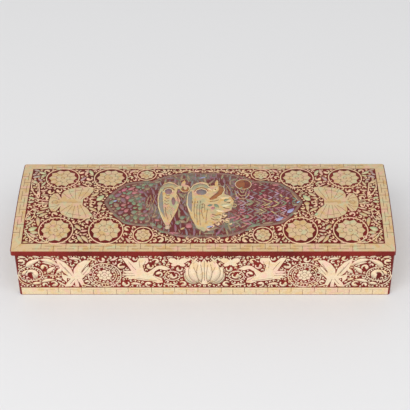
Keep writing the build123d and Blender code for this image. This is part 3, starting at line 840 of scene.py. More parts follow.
def lidLeaves():
    # each tone is one piece of shell work
    return {
        "lid_leaves": [
            leaf(-134.2, -19.3, -140.5, -26.9, 2.0, 0.8), leaf(-131.9, -17.4, -130.4, -27.0, 3.2, 0.4),
            leaf(-130.6, -16.8, -123.9, -12.6, 2.9, 0.4), leaf(-133.2, -14.0, -126.4, -10.4, 2.4, 0.3),
            leaf(-130.4, -8.6, -123.2, -6.4, 1.8), leaf(-140.2, -20.9, -136.9, -16.2, 2.4),
            leaf(-136.1, -33.2, -129.6, -34.3, 3.4, 0.3), leaf(-136.1, -35.5, -130.3, -38.4, 2.9),
            leaf(-140.9, -40.7, -138.3, -36.2, 1.4), leaf(-141.1, -43.4, -136.4, -43.4, 1.6),
            leaf(-134.8, -44.0, -132.2, -42.6, 1.6), leaf(-95.8, -37.2, -89.8, -43.8, 3.1, 0.6),
            leaf(-98.4, -36.2, -93.5, -43.8, 2.7, -0.6), leaf(-111.3, -44.0, -107.0, -43.2, 1.4),
            leaf(-101.6, -25.8, -96.3, -31.1, 3.0, 0.5), leaf(-91.7, -6.8, -84.9, -11.4, 2.9, 0.5),
            leaf(-83.4, -3.2, -83.4, -10.4, 3.0), leaf(-82.1, -11.6, -77.9, -9.9, 1.6),
            leaf(-37.8, -38.3, -34.9, -35.9, 1.6), leaf(-91.2, 7.0, -84.6, 12.2, 2.9, -0.5),
            leaf(-82.3, 11.6, -77.2, 10.4, 1.6), leaf(-83.5, 0.3, -82.6, -4.4, 4.4),
            leaf(-140.9, 28.4, -136.0, 23.6, 3.4), leaf(-139.4, 19.3, -136.2, 18.2, 2.6),
            leaf(-131.3, 9.0, -125.2, 8.6, 1.6), leaf(-132.2, 20.6, -129.4, 26.6, 2.2),
            leaf(-61.8, -41.4, -64.6, -37.4, 1.6), leaf(-60.6, -42.6, -61.2, -44.6, 1.6),
            leaf(-56.0, -30.6, -54.9, -34.2, 2.0), leaf(-57.2, -44.0, -60.6, -39.4, 2.2, -0.4),
            leaf(-71.6, -13.9, -75.8, -12.3, 1.9), leaf(-102.2, 20.4, -97.3, 19.4, 1.3),
            leaf(-94.5, 36.5, -90.9, 34.6, 1.6), leaf(-95.8, 26.4, -91.0, 22.0, 2.1, 0.3),
            leaf(-52.4, 44.2, -47.0, 44.4, 1.4), leaf(-13.0, 38.9, -8.6, 41.6, 1.6),
            leaf(-64.6, 44.2, -60.4, 42.6, 1.8),
        ],
        "lid_green_leaves": [
            leaf(-86.0, 1.9, -80.6, 8.6, 4.6, -0.4), leaf(-94.8, 42.6, -91.4, 34.8, 2.9, 0.3),
            leaf(-136.6, 40.6, -130.1, 36.6, 2.9), leaf(-134.2, 33.9, -129.9, 34.9, 2.1),
            leaf(-141.2, 5.8, -136.4, 4.4, 2.1), leaf(-141.2, 0.0, -136.1, 0.6, 2.5),
            leaf(-63.5, 28.9, -60.6, 28.1, 1.2), leaf(-88.5, -15.6, -91.4, -12.6, 1.8),
            leaf(-137.5, -31.6, -131.0, -28.6, 4.2, 0.3),
        ],
        "lid_pink_leaves": [
            leaf(-128.1, 18.5, -123.3, 17.2, 1.8), leaf(-132.6, 14.3, -127.2, 14.3, 2.1),
            leaf(-97.9, 35.3, -96.1, 44.2, 2.6, -0.4), leaf(-92.6, 43.9, -88.3, 43.2, 1.8),
            leaf(-61.0, 38.4, -56.4, 43.6, 2.4, 0.5), leaf(-57.7, 35.6, -54.7, 30.4, 2.0, 0.4),
            leaf(-96.6, -32.3, -90.9, -31.6, 2.0), leaf(-94.5, -36.0, -91.2, -34.6, 1.6),
            leaf(-138.0, -34.2, -129.2, -39.6, 1.4, 0.3), leaf(-100.2, -35.4, -97.6, -37.8, 1.4),
        ],
        "lid_plum_leaves": [
            leaf(-140.6, 31.6, -134.4, 34.4, 2.6, 0.4), leaf(-141.2, 35.3, -138.0, 38.2, 2.1),
            leaf(-141.0, 43.6, -135.9, 41.9, 1.8), leaf(-136.1, 29.8, -132.4, 27.6, 2.1),
            leaf(-139.8, 39.2, -137.0, 40.8, 1.6), leaf(-101.0, 27.4, -97.0, 32.8, 2.6),
        ],
    }


def lidLines(setup):
    # engraved: petals of the blossoms, and the wings of the butterflies
    width = setup["lineWidth"]
    strokes = []
    for x, y in setup["large"]:
        strokes += petalLines(x, y, setup["largeRadius"], 10, width)
    for x, y in setup["small"]:
        strokes += petalLines(x, y, setup["smallRadius"], 8, width * 0.9)
    wingLines = (
        ((-93.1, 17.4), (-93.7, 14.6), (-96.7, 8.2), (-99.0, 3.0)),
        ((-98.4, 18.0), (-99.6, 11.0), (-101.0, 4.0)),
        ((-104.0, 17.2), (-103.8, 11.0), (-103.0, 4.0)),
        ((-109.6, 15.4), (-107.6, 9.6), (-105.0, 4.4)),
        ((-113.8, 11.0), (-110.4, 7.0), (-107.0, 4.0)),
        ((-123.4, 5.6), (-119.4, 5.0), (-115.6, 2.4)),
        ((-120.6, 9.8), (-118.0, 6.6), (-116.2, 3.2)),
        ((-97.0, 15.4), (-102.0, 14.6), (-108.0, 13.0)),
    )
    for side in (-1, 1):
        strokes += [line([(x, side * y) for x, y in points], width) for points in wingLines]
    strokes.append(line([(-122.0, 0.0), (-110.0, 0.0), (-98.0, 0.0)], width))
    strokes.append(ring(-119.6, 0.0, 2.2, width, steps=12))
    return strokes


def tLines(acrossLow, acrossHigh, foot, top, pitch, bar, width):
    # thin lines of the fret: Ts from both edges of a band, half a pitch apart
    strokes = []
    height = top - foot
    count = int((acrossHigh - acrossLow) / pitch) + 2
    middle = (acrossLow + acrossHigh) / 2
    for k in range(-count, count + 1):
        for x, start, end in ((middle + k * pitch, foot, foot + 0.68 * height),
                              (middle + (k + 0.5) * pitch, top, top - 0.68 * height)):
            if acrossLow < x - bar / 2 and x + bar / 2 < acrossHigh:
                strokes.append(line([(x, start), (x, (start + end) / 2), (x, end)], width))
                strokes.append(line([(x - bar / 2, end), (x, end), (x + bar / 2, end)], width))
    return strokes


lidFret = {
    "reach": (149.3, 52.3),      # half the band's outer length and width
    "band": 7.4,
    "longPitch": 19.4,
    "endPitch": 16.8,
    "bar": 13.5,
    "endBar": 11.0,
    "lineWidth": 0.32,
}


def lidFretLines(setup):
    reachX, reachY = setup["reach"]
    inX, inY = reachX - setup["band"], reachY - setup["band"]
    strokes = tLines(-inX, inX, -reachY, -inY, setup["longPitch"], setup["bar"], setup["lineWidth"])
    strokes += tLines(-inX, inX, reachY, inY, setup["longPitch"], setup["bar"], setup["lineWidth"])
    for side in (-1, 1):
        ends = tLines(-inY, inY, reachX, inX, setup["endPitch"], setup["endBar"], setup["lineWidth"])
        strokes += [[(side * y, x, width) for x, y, width in stroke] for stroke in ends]
    return strokes


def decorateLid(setup):
    runners = lidRunners(setup)
    leaves = lidLeaves()
    drawn = runners + [stroke for group in leaves.values() for stroke in group]
    blocked = plateEdges(setup["plates"], flatOnLid) + strokeSpots(mirrored(drawn))
    # the ground between a blossom and its ring stays bare
    blocked += [(x, y, setup["largeRing"][0]) for x, y in setup["large"]]
    blocked += [(x, y, setup["smallRing"][0]) for x, y in setup["small"]]
    spots = fillGround(setup["fill"], plateFinder(setup["plates"], onLid), blocked)
    filling = mirrored(fillStrokes(setup["fill"], spots))
    finishes = {"lid_leaves": shell["lid"], "lid_green_leaves": shell["paleGreen"],
                "lid_pink_leaves": shell["palePink"], "lid_plum_leaves": shell["paleLilac"]}
    layOnLid("lid_runners", mirrored(runners), shell["pinkCream"], setup["lift"])
    for name, strokes in leaves.items():
        layOnLid(name, mirrored(strokes), finishes[name], setup["lift"])
    half = len(filling) // 2
    layOnLid("lid_filling_left", filling[:half], shell["pinkCream"], setup["lift"])
    layOnLid("lid_filling_right", filling[half:], shell["pinkCream"], setup["lift"])
    engrave("lid_engraving", mirrored(lidLines(setup)), onLid, "lid")
    engrave("lid_fret_lines", lidFretLines(lidFret), onLid, "lid")


decorateLid(lidOrnament)

# medallion: leaves, water, feathers and birds laid over its abalone ground
medallionRim = {
    "width": 2.4,
    "inset": 1.4,
    "steps": 10,
    # three arcs from the tip to the crown, each by its start, a point on it and its end
    "arcs": (((80.0, 0.0), (73.5, 12.5), (63.0, 24.2)), ((63.0, 24.2), (53.0, 26.8), (42.0, 27.2)),
             ((42.0, 27.2), (25.0, 36.4), (0.0, 38.8))),
}
medallionLift, medallionThickness = 0.05, 0.14


def arcThrough(first, middle, last, steps):
    # points on the circle through three points
    (ax, ay), (bx, by), (cx, cy) = first, middle, last
    scale = 2 * (ax * (by - cy) + bx * (cy - ay) + cx * (ay - by))
    squares = [x * x + y * y for x, y in (first, middle, last)]
    centreX = (squares[0] * (by - cy) + squares[1] * (cy - ay) + squares[2] * (ay - by)) / scale
    centreY = (squares[0] * (cx - bx) + squares[1] * (ax - cx) + squares[2] * (bx - ax)) / scale
    radius = math.hypot(ax - centreX, ay - centreY)
    start = math.atan2(ay - centreY, ax - centreX)
    sweep = math.atan2(cy - centreY, cx - centreX) - start
    return [(centreX + radius * math.cos(start + sweep * k / steps),
             centreY + radius * math.sin(start + sweep * k / steps)) for k in range(steps + 1)]


def medallionEdge(setup):
    # a quarter of the rim, from the tip to the crown, drawn a little inside the outline
    quarter = []
    for corners in setup["arcs"]:
        quarter += arcThrough(*corners, setup["steps"])[1 if quarter else 0:]
    points = []
    for k, (x, y) in enumerate(quarter):
        before, after = quarter[max(0, k - 1)], quarter[min(len(quarter) - 1, k + 1)]
        length = math.dist(before, after)
        normalX, normalY = (after[1] - before[1]) / length, -(after[0] - before[0]) / length
        points.append((x - normalX * setup["inset"], y - normalY * setup["inset"], setup["width"]))
    return points


medallionWork = {
    "medallion_greens": [
        leaf(-36.5, -27.5, -32.0, -27.5, 4.6), leaf(-42.1, -23.8, -37.2, -26.7, 3.1),
        leaf(-45.8, -7.6, -43.0, -9.0, 2.5), leaf(-34.6, -31.9, -30.3, -33.9, 1.9),
        leaf(-18.6, -18.9, -14.4, -16.8, 3.9), leaf(-22.1, -24.3, -17.9, -22.2, 4.2),
        leaf(-75.7, -2.6, -71.6, 2.8, 3.1), leaf(-76.0, 5.4, -73.0, 9.2, 3.0),
        leaf(-62.2, 9.1, -57.8, 13.6, 2.9), leaf(-50.6, 20.7, -46.5, 23.3, 2.4),
        leaf(-44.9, 20.7, -40.8, 23.3, 3.6), leaf(-57.6, -12.6, -52.6, -10.6, 4.0),
        leaf(-50.6, -20.2, -46.0, -17.4, 3.8), leaf(-69.6, -8.4, -65.8, -6.2, 3.0),
        leaf(-60.4, 1.0, -55.4, 3.8, 3.4), leaf(-53.4, -4.0, -48.8, -1.6, 3.4),
        leaf(18.9, -26.0, 30.3, -20.7, 2.2, 0.4), leaf(31.0, -16.3, 37.2, -16.3, 2.2),
        leaf(38.3, -27.7, 45.4, -23.7, 2.6), leaf(33.4, -31.6, 38.9, -29.9, 1.8),
        leaf(32.1, -17.5, 36.6, -18.1, 1.6), leaf(28.9, 15.9, 32.0, 19.0, 1.4),
        leaf(46.6, 13.4, 50.2, 14.6, 1.6),
    ],
    "medallion_tans": [
        leaf(-40.8, -17.6, -36.4, -15.0, 2.5), leaf(-20.2, 11.4, -15.4, 4.2, 2.2),
        leaf(-19.2, -21.0, -13.4, -23.0, 3.2), leaf(2.1, -31.9, 12.6, -28.4, 2.4),
        leaf(33.1, 4.4, 41.4, -0.2, 1.8), leaf(33.0, -3.6, 41.4, -0.2, 1.8),
        leaf(71.2, -3.1, 76.4, -3.4, 2.6), leaf(46.9, -24.7, 55.9, -22.7, 2.2),
        leaf(40.1, -8.0, 45.7, -11.2, 1.4), leaf(40.4, -13.3, 47.2, -11.2, 1.4),
        leaf(0.3, -34.7, 9.4, -34.4, 1.8), leaf(-69.4, 2.4, -66.2, 5.4, 3.2),
        leaf(-55.8, 6.2, -52.2, 8.4, 3.0), leaf(-47.6, 15.4, -43.4, 17.6, 3.0),
        leaf(-64.0, -16.0, -59.8, -14.0, 2.6), leaf(-46.0, -22.8, -42.2, -20.6, 2.4),
        leaf(-58.6, 20.4, -54.2, 22.2, 2.2), leaf(-40.0, 24.6, -34.6, 27.0, 2.6),
        leaf(-52.0, -15.0, -48.6, -12.4, 2.4), leaf(-20.0, 27.6, -14.0, 30.4, 1.6),
        leaf(22.0, 27.6, 27.6, 30.0, 1.6),
    ],
    "medallion_plums": [
        leaf(-71.3, 6.7, -66.2, 11.1, 3.7), leaf(-66.4, 5.1, -62.4, -1.4, 3.7),
        leaf(-52.9, 14.0, -48.3, 11.1, 3.7), leaf(-24.1, 4.6, -23.8, -4.0, 3.2),
        leaf(-18.4, -2.7, -15.8, -9.9, 3.2), leaf(21.7, 21.7, 25.3, 19.3, 2.4),
        leaf(62.8, 14.0, 66.2, 14.0, 3.2), leaf(56.0, 6.7, 60.6, 6.7, 2.5),
        leaf(42.2, 4.3, 47.5, -0.2, 1.5), leaf(42.4, -5.8, 47.5, -0.2, 1.5),
        leaf(61.2, 2.0, 65.7, 2.6, 1.2), leaf(46.4, -12.8, 52.4, -13.4, 1.2),
        leaf(52.3, -16.5, 58.3, -14.9, 1.2), leaf(26.1, -16.0, 30.2, -14.9, 1.5),
        leaf(34.9, -25.7, 38.3, -25.2, 1.5), leaf(31.3, -23.2, 37.1, -20.8, 1.8),
        leaf(-60.6, -6.4, -56.6, -3.8, 3.4), leaf(-50.4, 2.6, -46.4, 5.6, 3.0),
        leaf(-48.0, -12.0, -44.2, -9.4, 2.8), leaf(-30.6, 30.0, -24.6, 31.6, 1.8),
        leaf(5.4, 31.0, 11.0, 32.4, 1.8),
    ],
    "medallion_pinks": [
        leaf(-46.7, -14.6, -43.7, -15.5, 3.4), leaf(-13.3, -25.1, -8.9, -28.3, 5.4),
        leaf(-26.7, -33.9, -17.7, -34.5, 1.8), leaf(-66.3, 13.2, -62.4, 17.3, 2.9),
        leaf(-61.2, 15.2, -55.8, 19.0, 2.9), leaf(-65.8, -4.5, -61.8, -2.2, 3.2),
        leaf(6.5, -8.2, 9.4, -6.2, 2.6), leaf(20.4, -18.8, 26.8, -16.8, 1.8),
        leaf(28.3, -8.3, 33.3, -9.8, 1.5), leaf(41.1, 22.2, 43.8, 22.2, 2.0),
        leaf(55.7, 21.6, 62.0, 21.6, 2.4), leaf(47.7, 9.0, 51.5, 7.8, 2.3),
        leaf(40.2, 14.5, 43.3, 16.3, 1.5), leaf(44.5, 18.8, 47.1, 17.5, 1.5),
        leaf(61.2, -6.9, 67.0, -3.6, 1.4), leaf(57.1, -7.5, 63.9, -5.8, 1.2),
        leaf(47.5, -14.9, 50.0, -17.6, 1.2), leaf(51.9, -17.6, 54.5, -19.6, 1.0),
        leaf(53.3, -19.6, 56.0, -17.6, 1.0), leaf(28.8, -11.7, 32.9, -12.3, 1.5),
        leaf(31.2, -21.6, 37.2, -20.2, 1.7), leaf(32.7, -24.2, 38.3, -24.7, 1.5),
        leaf(61.5, -10.2, 64.2, -9.6, 1.5), leaf(-38.6, -20.1, -34.6, -21.0, 2.6),
        leaf(55.2, 16.4, 58.3, 17.6, 1.6), leaf(58.2, 15.9, 60.8, 12.6, 1.9),
        leaf(30.5, -27.3, 33.4, -27.3, 1.4),
    ],
    "medallion_lilacs": [
        leaf(67.0, -12.6, 72.6, -7.6, 3.6), leaf(57.8, -21.4, 63.7, -17.4, 3.2),
        leaf(74.9, -1.4, 77.6, 1.4, 1.6), leaf(2.6, -28.4, 8.6, -26.6, 1.6),
        leaf(-72.4, 0.6, -69.4, 2.4, 1.8), leaf(-3.6, 30.8, 2.4, 32.8, 1.4),
    ],
    "medallion_creams": [
        line([(-41.4, -3.6), (-40.6, -8.1), (-41.0, -12.5)], 0.4),
        line([(-38.9, -2.7), (-38.1, -8.1), (-38.6, -12.0)], 0.4),
        line([(-43.3, -0.4), (-42.5, -6.3), (-43.0, -9.8)], 0.4),
        line([(-45.6, 1.6), (-44.9, -2.6), (-45.4, -5.4)], 0.4),
        line([(-40.4, 8.6), (-39.6, 3.6), (-40.2, -0.4)], 0.4),
        line([(-42.8, 9.0), (-42.0, 4.4), (-42.6, 1.4)], 0.4), ring(24.8, -4.1, 1.8, 0.8, steps=12),
        ring(16.1, -16.3, 1.6, 0.8, steps=12), ring(19.0, -21.7, 1.6, 0.8, steps=12),
        line([(7.3, -16.3), (11.5, -20.2), (15.8, -25.1)], 0.5),
        line([(5.2, -23.6), (9.4, -23.6), (13.7, -25.1)], 0.5),
        line([(25.3, 14.6), (26.7, 7.8), (29.5, 3.9), (33.5, 3.9), (36.6, 8.9), (37.4, 14.4)], 0.9),
        line([(27.5, 15.2), (28.5, 10.1), (30.6, 7.3), (33.5, 8.0), (34.9, 13.5)], 0.8),
        line([(29.6, 15.2), (30.7, 11.8), (32.3, 11.6), (33.3, 15.2)], 0.8),
        line([(17.7, 22.9), (20.2, 18.1), (21.6, 13.5)], 0.4), line([(18.6, 16.6), (19.1, 10.1)], 0.4),
        line([(22.4, 18.7), (24.6, 17.5)], 0.5), line([(23.6, 5.4), (25.5, 2.9)], 0.5),
        leaf(61.8, 9.6, 63.9, 5.5, 1.7), leaf(65.8, 5.5, 69.2, 4.3, 1.9), leaf(47.6, 4.3, 53.5, 0.9, 1.4),
        leaf(48.5, -4.7, 55.0, -0.2, 1.4), leaf(52.8, 2.0, 55.8, -0.2, 1.4),
        leaf(48.8, -6.9, 54.9, -5.3, 1.3), leaf(56.6, 2.0, 60.7, -1.9, 1.4),
        leaf(54.9, -5.8, 60.6, -2.5, 1.4), leaf(44.1, -14.4, 48.7, -11.8, 1.4),
        leaf(53.6, -10.1, 58.7, -14.4, 1.2), leaf(44.6, -8.0, 48.7, -11.2, 1.4),
        leaf(-17.8, -30.6, -14.3, -28.5, 1.8), line([(71.5, 10.6), (73.9, 6.2), (76.4, 1.4)], 0.6),
    ],
}


# birds: hoods, throats, cheeks, crests and feathers laid on their two plates
birdWork = {
    "bird_hoods": [
        line([(-33.6, 16.6), (-32.2, 20.4), (-28.9, 22.4), (-25.2, 21.6), (-22.4, 18.6)], 3.4),
        line([(-8.8, 15.0), (-7.0, 19.6), (-2.9, 22.0), (1.2, 20.8), (3.6, 17.2)], 3.4),
    ],
    "bird_panels": [
        leaf(-33.8, 13.6, -30.4, -17.6, 3.4, -1.9, 10), leaf(-9.9, 13.4, -9.2, -11.4, 3.8, -1.5, 10),
    ],
    "bird_throats": [
        disc(-28.4, 13.2, 3.0, 3.6), disc(-1.7, 12.4, 4.2, 3.8), leaf(-24.4, 6.0, -24.0, -3.6, 3.0),
    ],
    "bird_gaps": [
        line([(-32.6, 14.0), (-31.4, 17.2), (-28.4, 18.6), (-25.4, 17.4), (-23.6, 14.8)], 0.9),
        line([(-7.2, 13.0), (-5.2, 17.0), (-1.6, 18.2), (1.8, 16.8), (3.6, 13.4)], 0.9),
    ],
    "bird_cheeks": [
        [(-16.8, 19.6, 0.8), (-17.2, 16.4, 2.2), (-15.8, 14.1, 2.6), (-13.6, 14.2, 2.4), (-12.6, 16.4, 1.8),
         (-12.9, 18.6, 0.8)],
        [(12.8, 20.4, 1.6), (14.4, 17.6, 3.4), (14.4, 14.0, 4.4), (12.6, 9.8, 4.8), (9.8, 6.8, 4.6),
         (7.0, 4.4, 3.4), (5.0, 3.2, 1.4)],
    ],
    "bird_feathers": [
        line([(-35.9, 13.6), (-36.6, 4.0), (-35.9, -6.0), (-33.6, -15.0), (-30.6, -23.4)], 0.7),
        line([(-12.2, 12.4), (-13.0, 4.0), (-12.6, -4.0), (-11.0, -11.6)], 0.7),
        line([(-32.0, 12.2), (-31.6, 15.2), (-28.4, 17.4), (-25.3, 15.4), (-24.8, 12.2)], 0.6),
        line([(-6.6, 11.2), (-5.8, 14.8), (-1.7, 16.6), (2.4, 14.6), (3.2, 11.2)], 0.6),
        line([(-10.4, 16.4), (-8.2, 21.8), (-3.0, 24.4), (2.0, 23.0), (4.8, 18.8)], 0.6),
        line([(12.0, 20.8), (16.4, 19.4), (17.0, 14.2), (15.0, 9.0), (11.0, 5.4)], 0.6),
        leaf(8.0, 13.4, 11.4, 19.4, 4.0), leaf(3.5, 17.6, 7.2, 14.1, 1.6), leaf(13.6, 4.6, 21.4, 6.4, 3.6),
        leaf(16.0, 0.6, 23.2, 2.4, 3.4), leaf(14.6, -5.0, 22.6, -2.6, 3.2), leaf(9.6, -9.0, 17.0, -11.6, 3.0),
    ],
    "bird_curls": [
        curl(13.0, -17.2, 2.4, 200), curl(17.4, -15.0, 2.2, 90), curl(15.0, -21.6, 2.3, 300),
        curl(19.4, -20.4, 2.2, 20), curl(11.6, -24.6, 2.1, 160), curl(7.4, -27.0, 2.0, 250),
        curl(4.4, -30.4, 1.8, 60), curl(21.6, -24.4, 1.6, 120),
    ],
    "bird_plumes": [
        line([(-30.4, -6.4), (-27.1, -12.1), (-25.0, -18.1)], 0.7),
        line([(-27.3, -5.3), (-24.4, -9.8), (-23.2, -13.7)], 0.7),
        line([(-31.4, -12.1), (-28.9, -17.6), (-26.8, -22.9)], 0.7),
        line([(-25.4, -6.2), (-22.8, -9.6)], 0.7),
        line([(-31.0, -9.0), (-28.2, -14.6), (-26.0, -20.4)], 0.6),
        line([(-29.0, -5.6), (-25.8, -10.8), (-24.0, -15.6)], 0.6),
        line([(-30.2, -28.6), (-28.6, -29.6), (-26.6, -29.4)], 1.6), disc(-28.0, -27.6, 1.8, 1.6),
    ],
    "bird_blushes": [
        leaf(8.8, -2.6, 12.6, -6.6, 3.0), leaf(16.4, 1.6, 20.4, 3.2, 2.4), leaf(3.4, -4.4, 7.4, -3.2, 2.2),
    ],
    "bird_lines": [
        line([(-7.1, -1.9), (-7.4, -10.3), (-6.5, -18.8)], 0.3),
        line([(-4.9, -3.0), (-5.2, -12.3), (-4.7, -23.6)], 0.3),
        line([(-2.8, -3.0), (-2.9, -13.8), (-2.2, -26.0)], 0.3),
        line([(-0.7, -1.9), (-1.3, -11.3), (0.2, -19.3)], 0.3), line([(1.1, -3.0), (1.2, -11.3)], 0.3),
        line([(3.4, -8.4), (2.6, -16.0), (2.2, -24.0)], 0.3), line([(-8.6, 1.3), (-8.6, -1.4)], 0.4),
        line([(-6.8, 1.3), (-6.8, -1.4)], 0.4), line([(-4.6, 1.3), (-4.6, -1.4)], 0.4),
        line([(-2.4, 1.3), (-2.4, -1.2)], 0.4), line([(-2.1, -3.0), (0.1, -2.0), (1.1, -4.1)], 0.3),
        line([(-1.7, -7.2), (0.4, -6.2)], 0.3), line([(16.6, 1.0), (18.6, 0.0), (21.6, -0.6)], 0.7),
        line([(-30.4, 9.0), (-29.0, 7.6), (-27.0, 8.6)], 0.4),
        line([(-31.0, 5.6), (-29.4, 4.2), (-27.4, 5.0)], 0.4),
        line([(-31.4, 2.0), (-29.8, 0.6), (-27.8, 1.6)], 0.4),
        line([(-31.2, -1.6), (-29.6, -3.0), (-27.6, -2.0)], 0.4),
        line([(-30.6, -6.0), (-29.8, -13.0), (-28.0, -20.0)], 0.4),
        line([(-26.0, -14.0), (-24.8, -18.0)], 0.4), line([(-21.6, 8.0), (-20.4, 3.0), (-20.2, -2.0)], 0.4),
        disc(-16.6, 15.6, 0.7, 0.7), disc(9.6, 15.6, 0.7, 0.7),
        line([(7.0, -14.0), (10.6, -15.6), (14.0, -14.6)], 0.5),
        line([(6.4, -19.0), (9.4, -20.6), (12.0, -20.2)], 0.5),
        line([(5.4, 0.6), (9.0, 1.0), (12.4, 2.6)], 0.4),
        line([(16.0, -6.4), (18.4, -7.6), (21.0, -8.0)], 0.5),
    ],
}


# the rest of the ground is packed with small slips: foliage on the left, water between the birds,
# and plumage that points to the right
medallionFill = {
    "seed": 31, "gap": 0.14, "across": (-79.5, 79.5), "up": (-38.6, 38.6), "overMiddle": 0.0,
    "sizes": (2.4, 1.7, 1.2, 0.8),
    "waterFrom": -47.0, "plumageFrom": 25.0,
    "waterTurn": (90, 16),       # degrees: the run of a slip and how far it strays, here and for the plumage
    "waterReach": 1.5, "waterWidth": 0.7, "waterBow": 0.4,
    "plumageTurn": (10, 14), "chevronFrom": 0.9,
    # a small arrowhead by the places and widths of its five points, in its size
    "chevron": ((-0.6, 0.95, 0.3), (0.0, 0.5, 0.55), (0.75, 0.0, 0.7), (0.0, -0.5, 0.55), (-0.6, -0.95, 0.3)),
    "shares": {"foliage": ("greens", "greens", "tans", "plums", "pinks", "pinks", "tans"),
               "water": ("plums", "greys", "tans", "plums", "tans"),
               "plumage": ("plums", "reds", "tans", "reds", "greens", "pinks", "reds", "plums", "mauves")},
}


chevronSetup = {
    "seed": 5, "across": (27.0, 74.0), "step": 5.4, "rows": (-25.4, -17.4, -9.8, -1.2),
    "reach": 3.9, "back": 3.2, "front": 2.0, "width": 1.5,
    "tints": ("greens", "pinks", "greys", "greens"),
    "others": ("greys", "tans", "mauves", "plums", "greens", "tans"),
    "fan": (40.0, 0.0),          # left of and above this spot the fan lies
    "waist": 0.45,               # of its reach, where an arrowhead bends
    "widths": (0.4, 1.0, 0.8),   # of its width, at the ends, the bends and the nose
    "clearance": 1.5,
    "wander": 0.3,
    "shortest": 0.85,
    "rowShare": 0.45,            # the chance that an arrowhead takes its row's own tint
}


def chevronRows(setup, onGround):
    # rows of arrowheads that run to the tip, each row with a tint that leads
    randomly = random.Random(setup["seed"])
    thin, wide, nose = (share * setup["width"] for share in setup["widths"])
    clear = setup["clearance"]
    rows = {}
    for y, tint in zip(setup["rows"], setup["tints"]):
        count = int((setup["across"][1] - setup["across"][0]) / setup["step"])
        for k in range(count):
            x = setup["across"][0] + k * setup["step"] + randomly.uniform(-setup["wander"], setup["wander"])
            back, front = x - setup["back"], x + setup["front"]
            reach = setup["reach"] * randomly.uniform(setup["shortest"], 1.0)
            bend = setup["waist"] * reach
            points = [(back, y + reach, thin), (x, y + bend, wide), (front, y, nose), (x, y - bend, wide),
                      (back, y - reach, thin)]
            chosen = tint if randomly.random() < setup["rowShare"] else randomly.choice(setup["others"])
            corners = ((back - clear, y + reach + clear), (front + clear, y),
                       (back - clear, y - reach - clear))
            overFan = x < setup["fan"][0] and y > setup["fan"][1]
            if not overFan and all(onGround(*corner) for corner in corners):
                rows.setdefault(chosen, []).append(points)
    return rows


def medallionSlips(setup, spots):
    # the tint and the run of a slip follow the part of the picture that it lies in
    randomly = random.Random(setup["seed"] + 1)
    slips = {}
    for x, y, size in spots:
        if x < setup["waterFrom"]:
            kind, stroke = "foliage", drop(x, y, size, randomly.uniform(0, 180))
        elif x < setup["plumageFrom"]:
            turn = math.radians(randomly.gauss(*setup["waterTurn"]))
            reach = setup["waterReach"] * size
            reachX, reachY = reach * math.cos(turn), reach * math.sin(turn)
            kind, stroke = "water", leaf(x - reachX, y - reachY, x + reachX, y + reachY,
                                         setup["waterWidth"] * size,
                                         randomly.uniform(-setup["waterBow"], setup["waterBow"]))
        elif size > setup["chevronFrom"]:
            kind, stroke = "plumage", [(x + dx * size, y + dy * size, width * size)
                                       for dx, dy, width in setup["chevron"]]
        else:
            kind, stroke = "plumage", drop(x, y, size, randomly.gauss(*setup["plumageTurn"]))
        slips.setdefault(randomly.choice(setup["shares"][kind]), []).append(stroke)
    return slips


def layOnMedallion(name, strokes, material):
    layStrokes(name, strokes, onLid, material, "lid", medallionLift, medallionThickness)


def decorateMedallion():
    kinds = {"greens": "moss", "tans": "tan", "plums": "plum", "pinks": "rose", "lilacs": "lilac",
             "creams": "gold", "greys": "grey", "mauves": "mauve", "reds": "red"}
    rim = mirrored([medallionEdge(medallionRim)], alsoUp=True)
    onGround = plateFinder(["lid_medallion_ground"], onLid)
    chevrons = chevronRows(chevronSetup, onGround)
    drawn = rim + [stroke for work in (medallionWork, chevrons) for strokes in work.values()
                   for stroke in strokes]
    spots = fillGround(medallionFill, lambda x, y: not onGround(x, y),
                       plateEdges(["lid_rear_bird", "lid_front_bird", "lid_sun"], flatOnLid)
                       + strokeSpots(drawn + birdWork["bird_curls"]))
    slips = medallionSlips(medallionFill, spots)
    layOnMedallion("medallion_rim", rim, shell["rim"])
    for tint, kind in kinds.items():
        name = f"medallion_{tint}"
        strokes = chevrons.get(tint, []) + medallionWork.get(name, []) + slips.get(tint, [])
        layOnMedallion(name, strokes, shell[kind])


decorateMedallion()

# birds and sun: each kind of bird work lies a little higher than the one before it
birdLayers = {"lift": 0.03, "step": 0.012, "thickness": 0.12}
sunWork = {
    "shade": line([(34.6, 17.2), (35.6, 20.0), (35.8, 22.6), (35.4, 25.2), (34.4, 27.6)], 4.0),
    "shadeLift": 0.04,
    "rim": ring(32.4, 22.4, 6.5, 0.5),
}


def decorateBirds(setup):
    finishes = {"bird_hoods": shell["olive"], "bird_panels": shell["stone"], "bird_throats": shell["plum"],
                "bird_gaps": shell["ember"], "bird_cheeks": shell["ember"], "bird_feathers": shell["cream"],
                "bird_curls": shell["pinkCream"], "bird_plumes": shell["palePink"],
                "bird_blushes": shell["moss"], "bird_lines": engraved}
    for layer, (name, strokes) in enumerate(birdWork.items()):
        layStrokes(name, strokes, onLid, finishes[name], "lid",
                   setup["lift"] + setup["step"] * layer, setup["thickness"])


def decorateSun(setup):
    layStrokes("sun_shade", [setup["shade"]], onLid, shell["sunRed"], "lid", setup["shadeLift"],
               birdLayers["thickness"])
    layStrokes("sun_rim", [setup["rim"]], onLid, shell["cream"], "lid", medallionLift,
               medallionThickness)


decorateBirds(birdLayers)
decorateSun(sunWork)

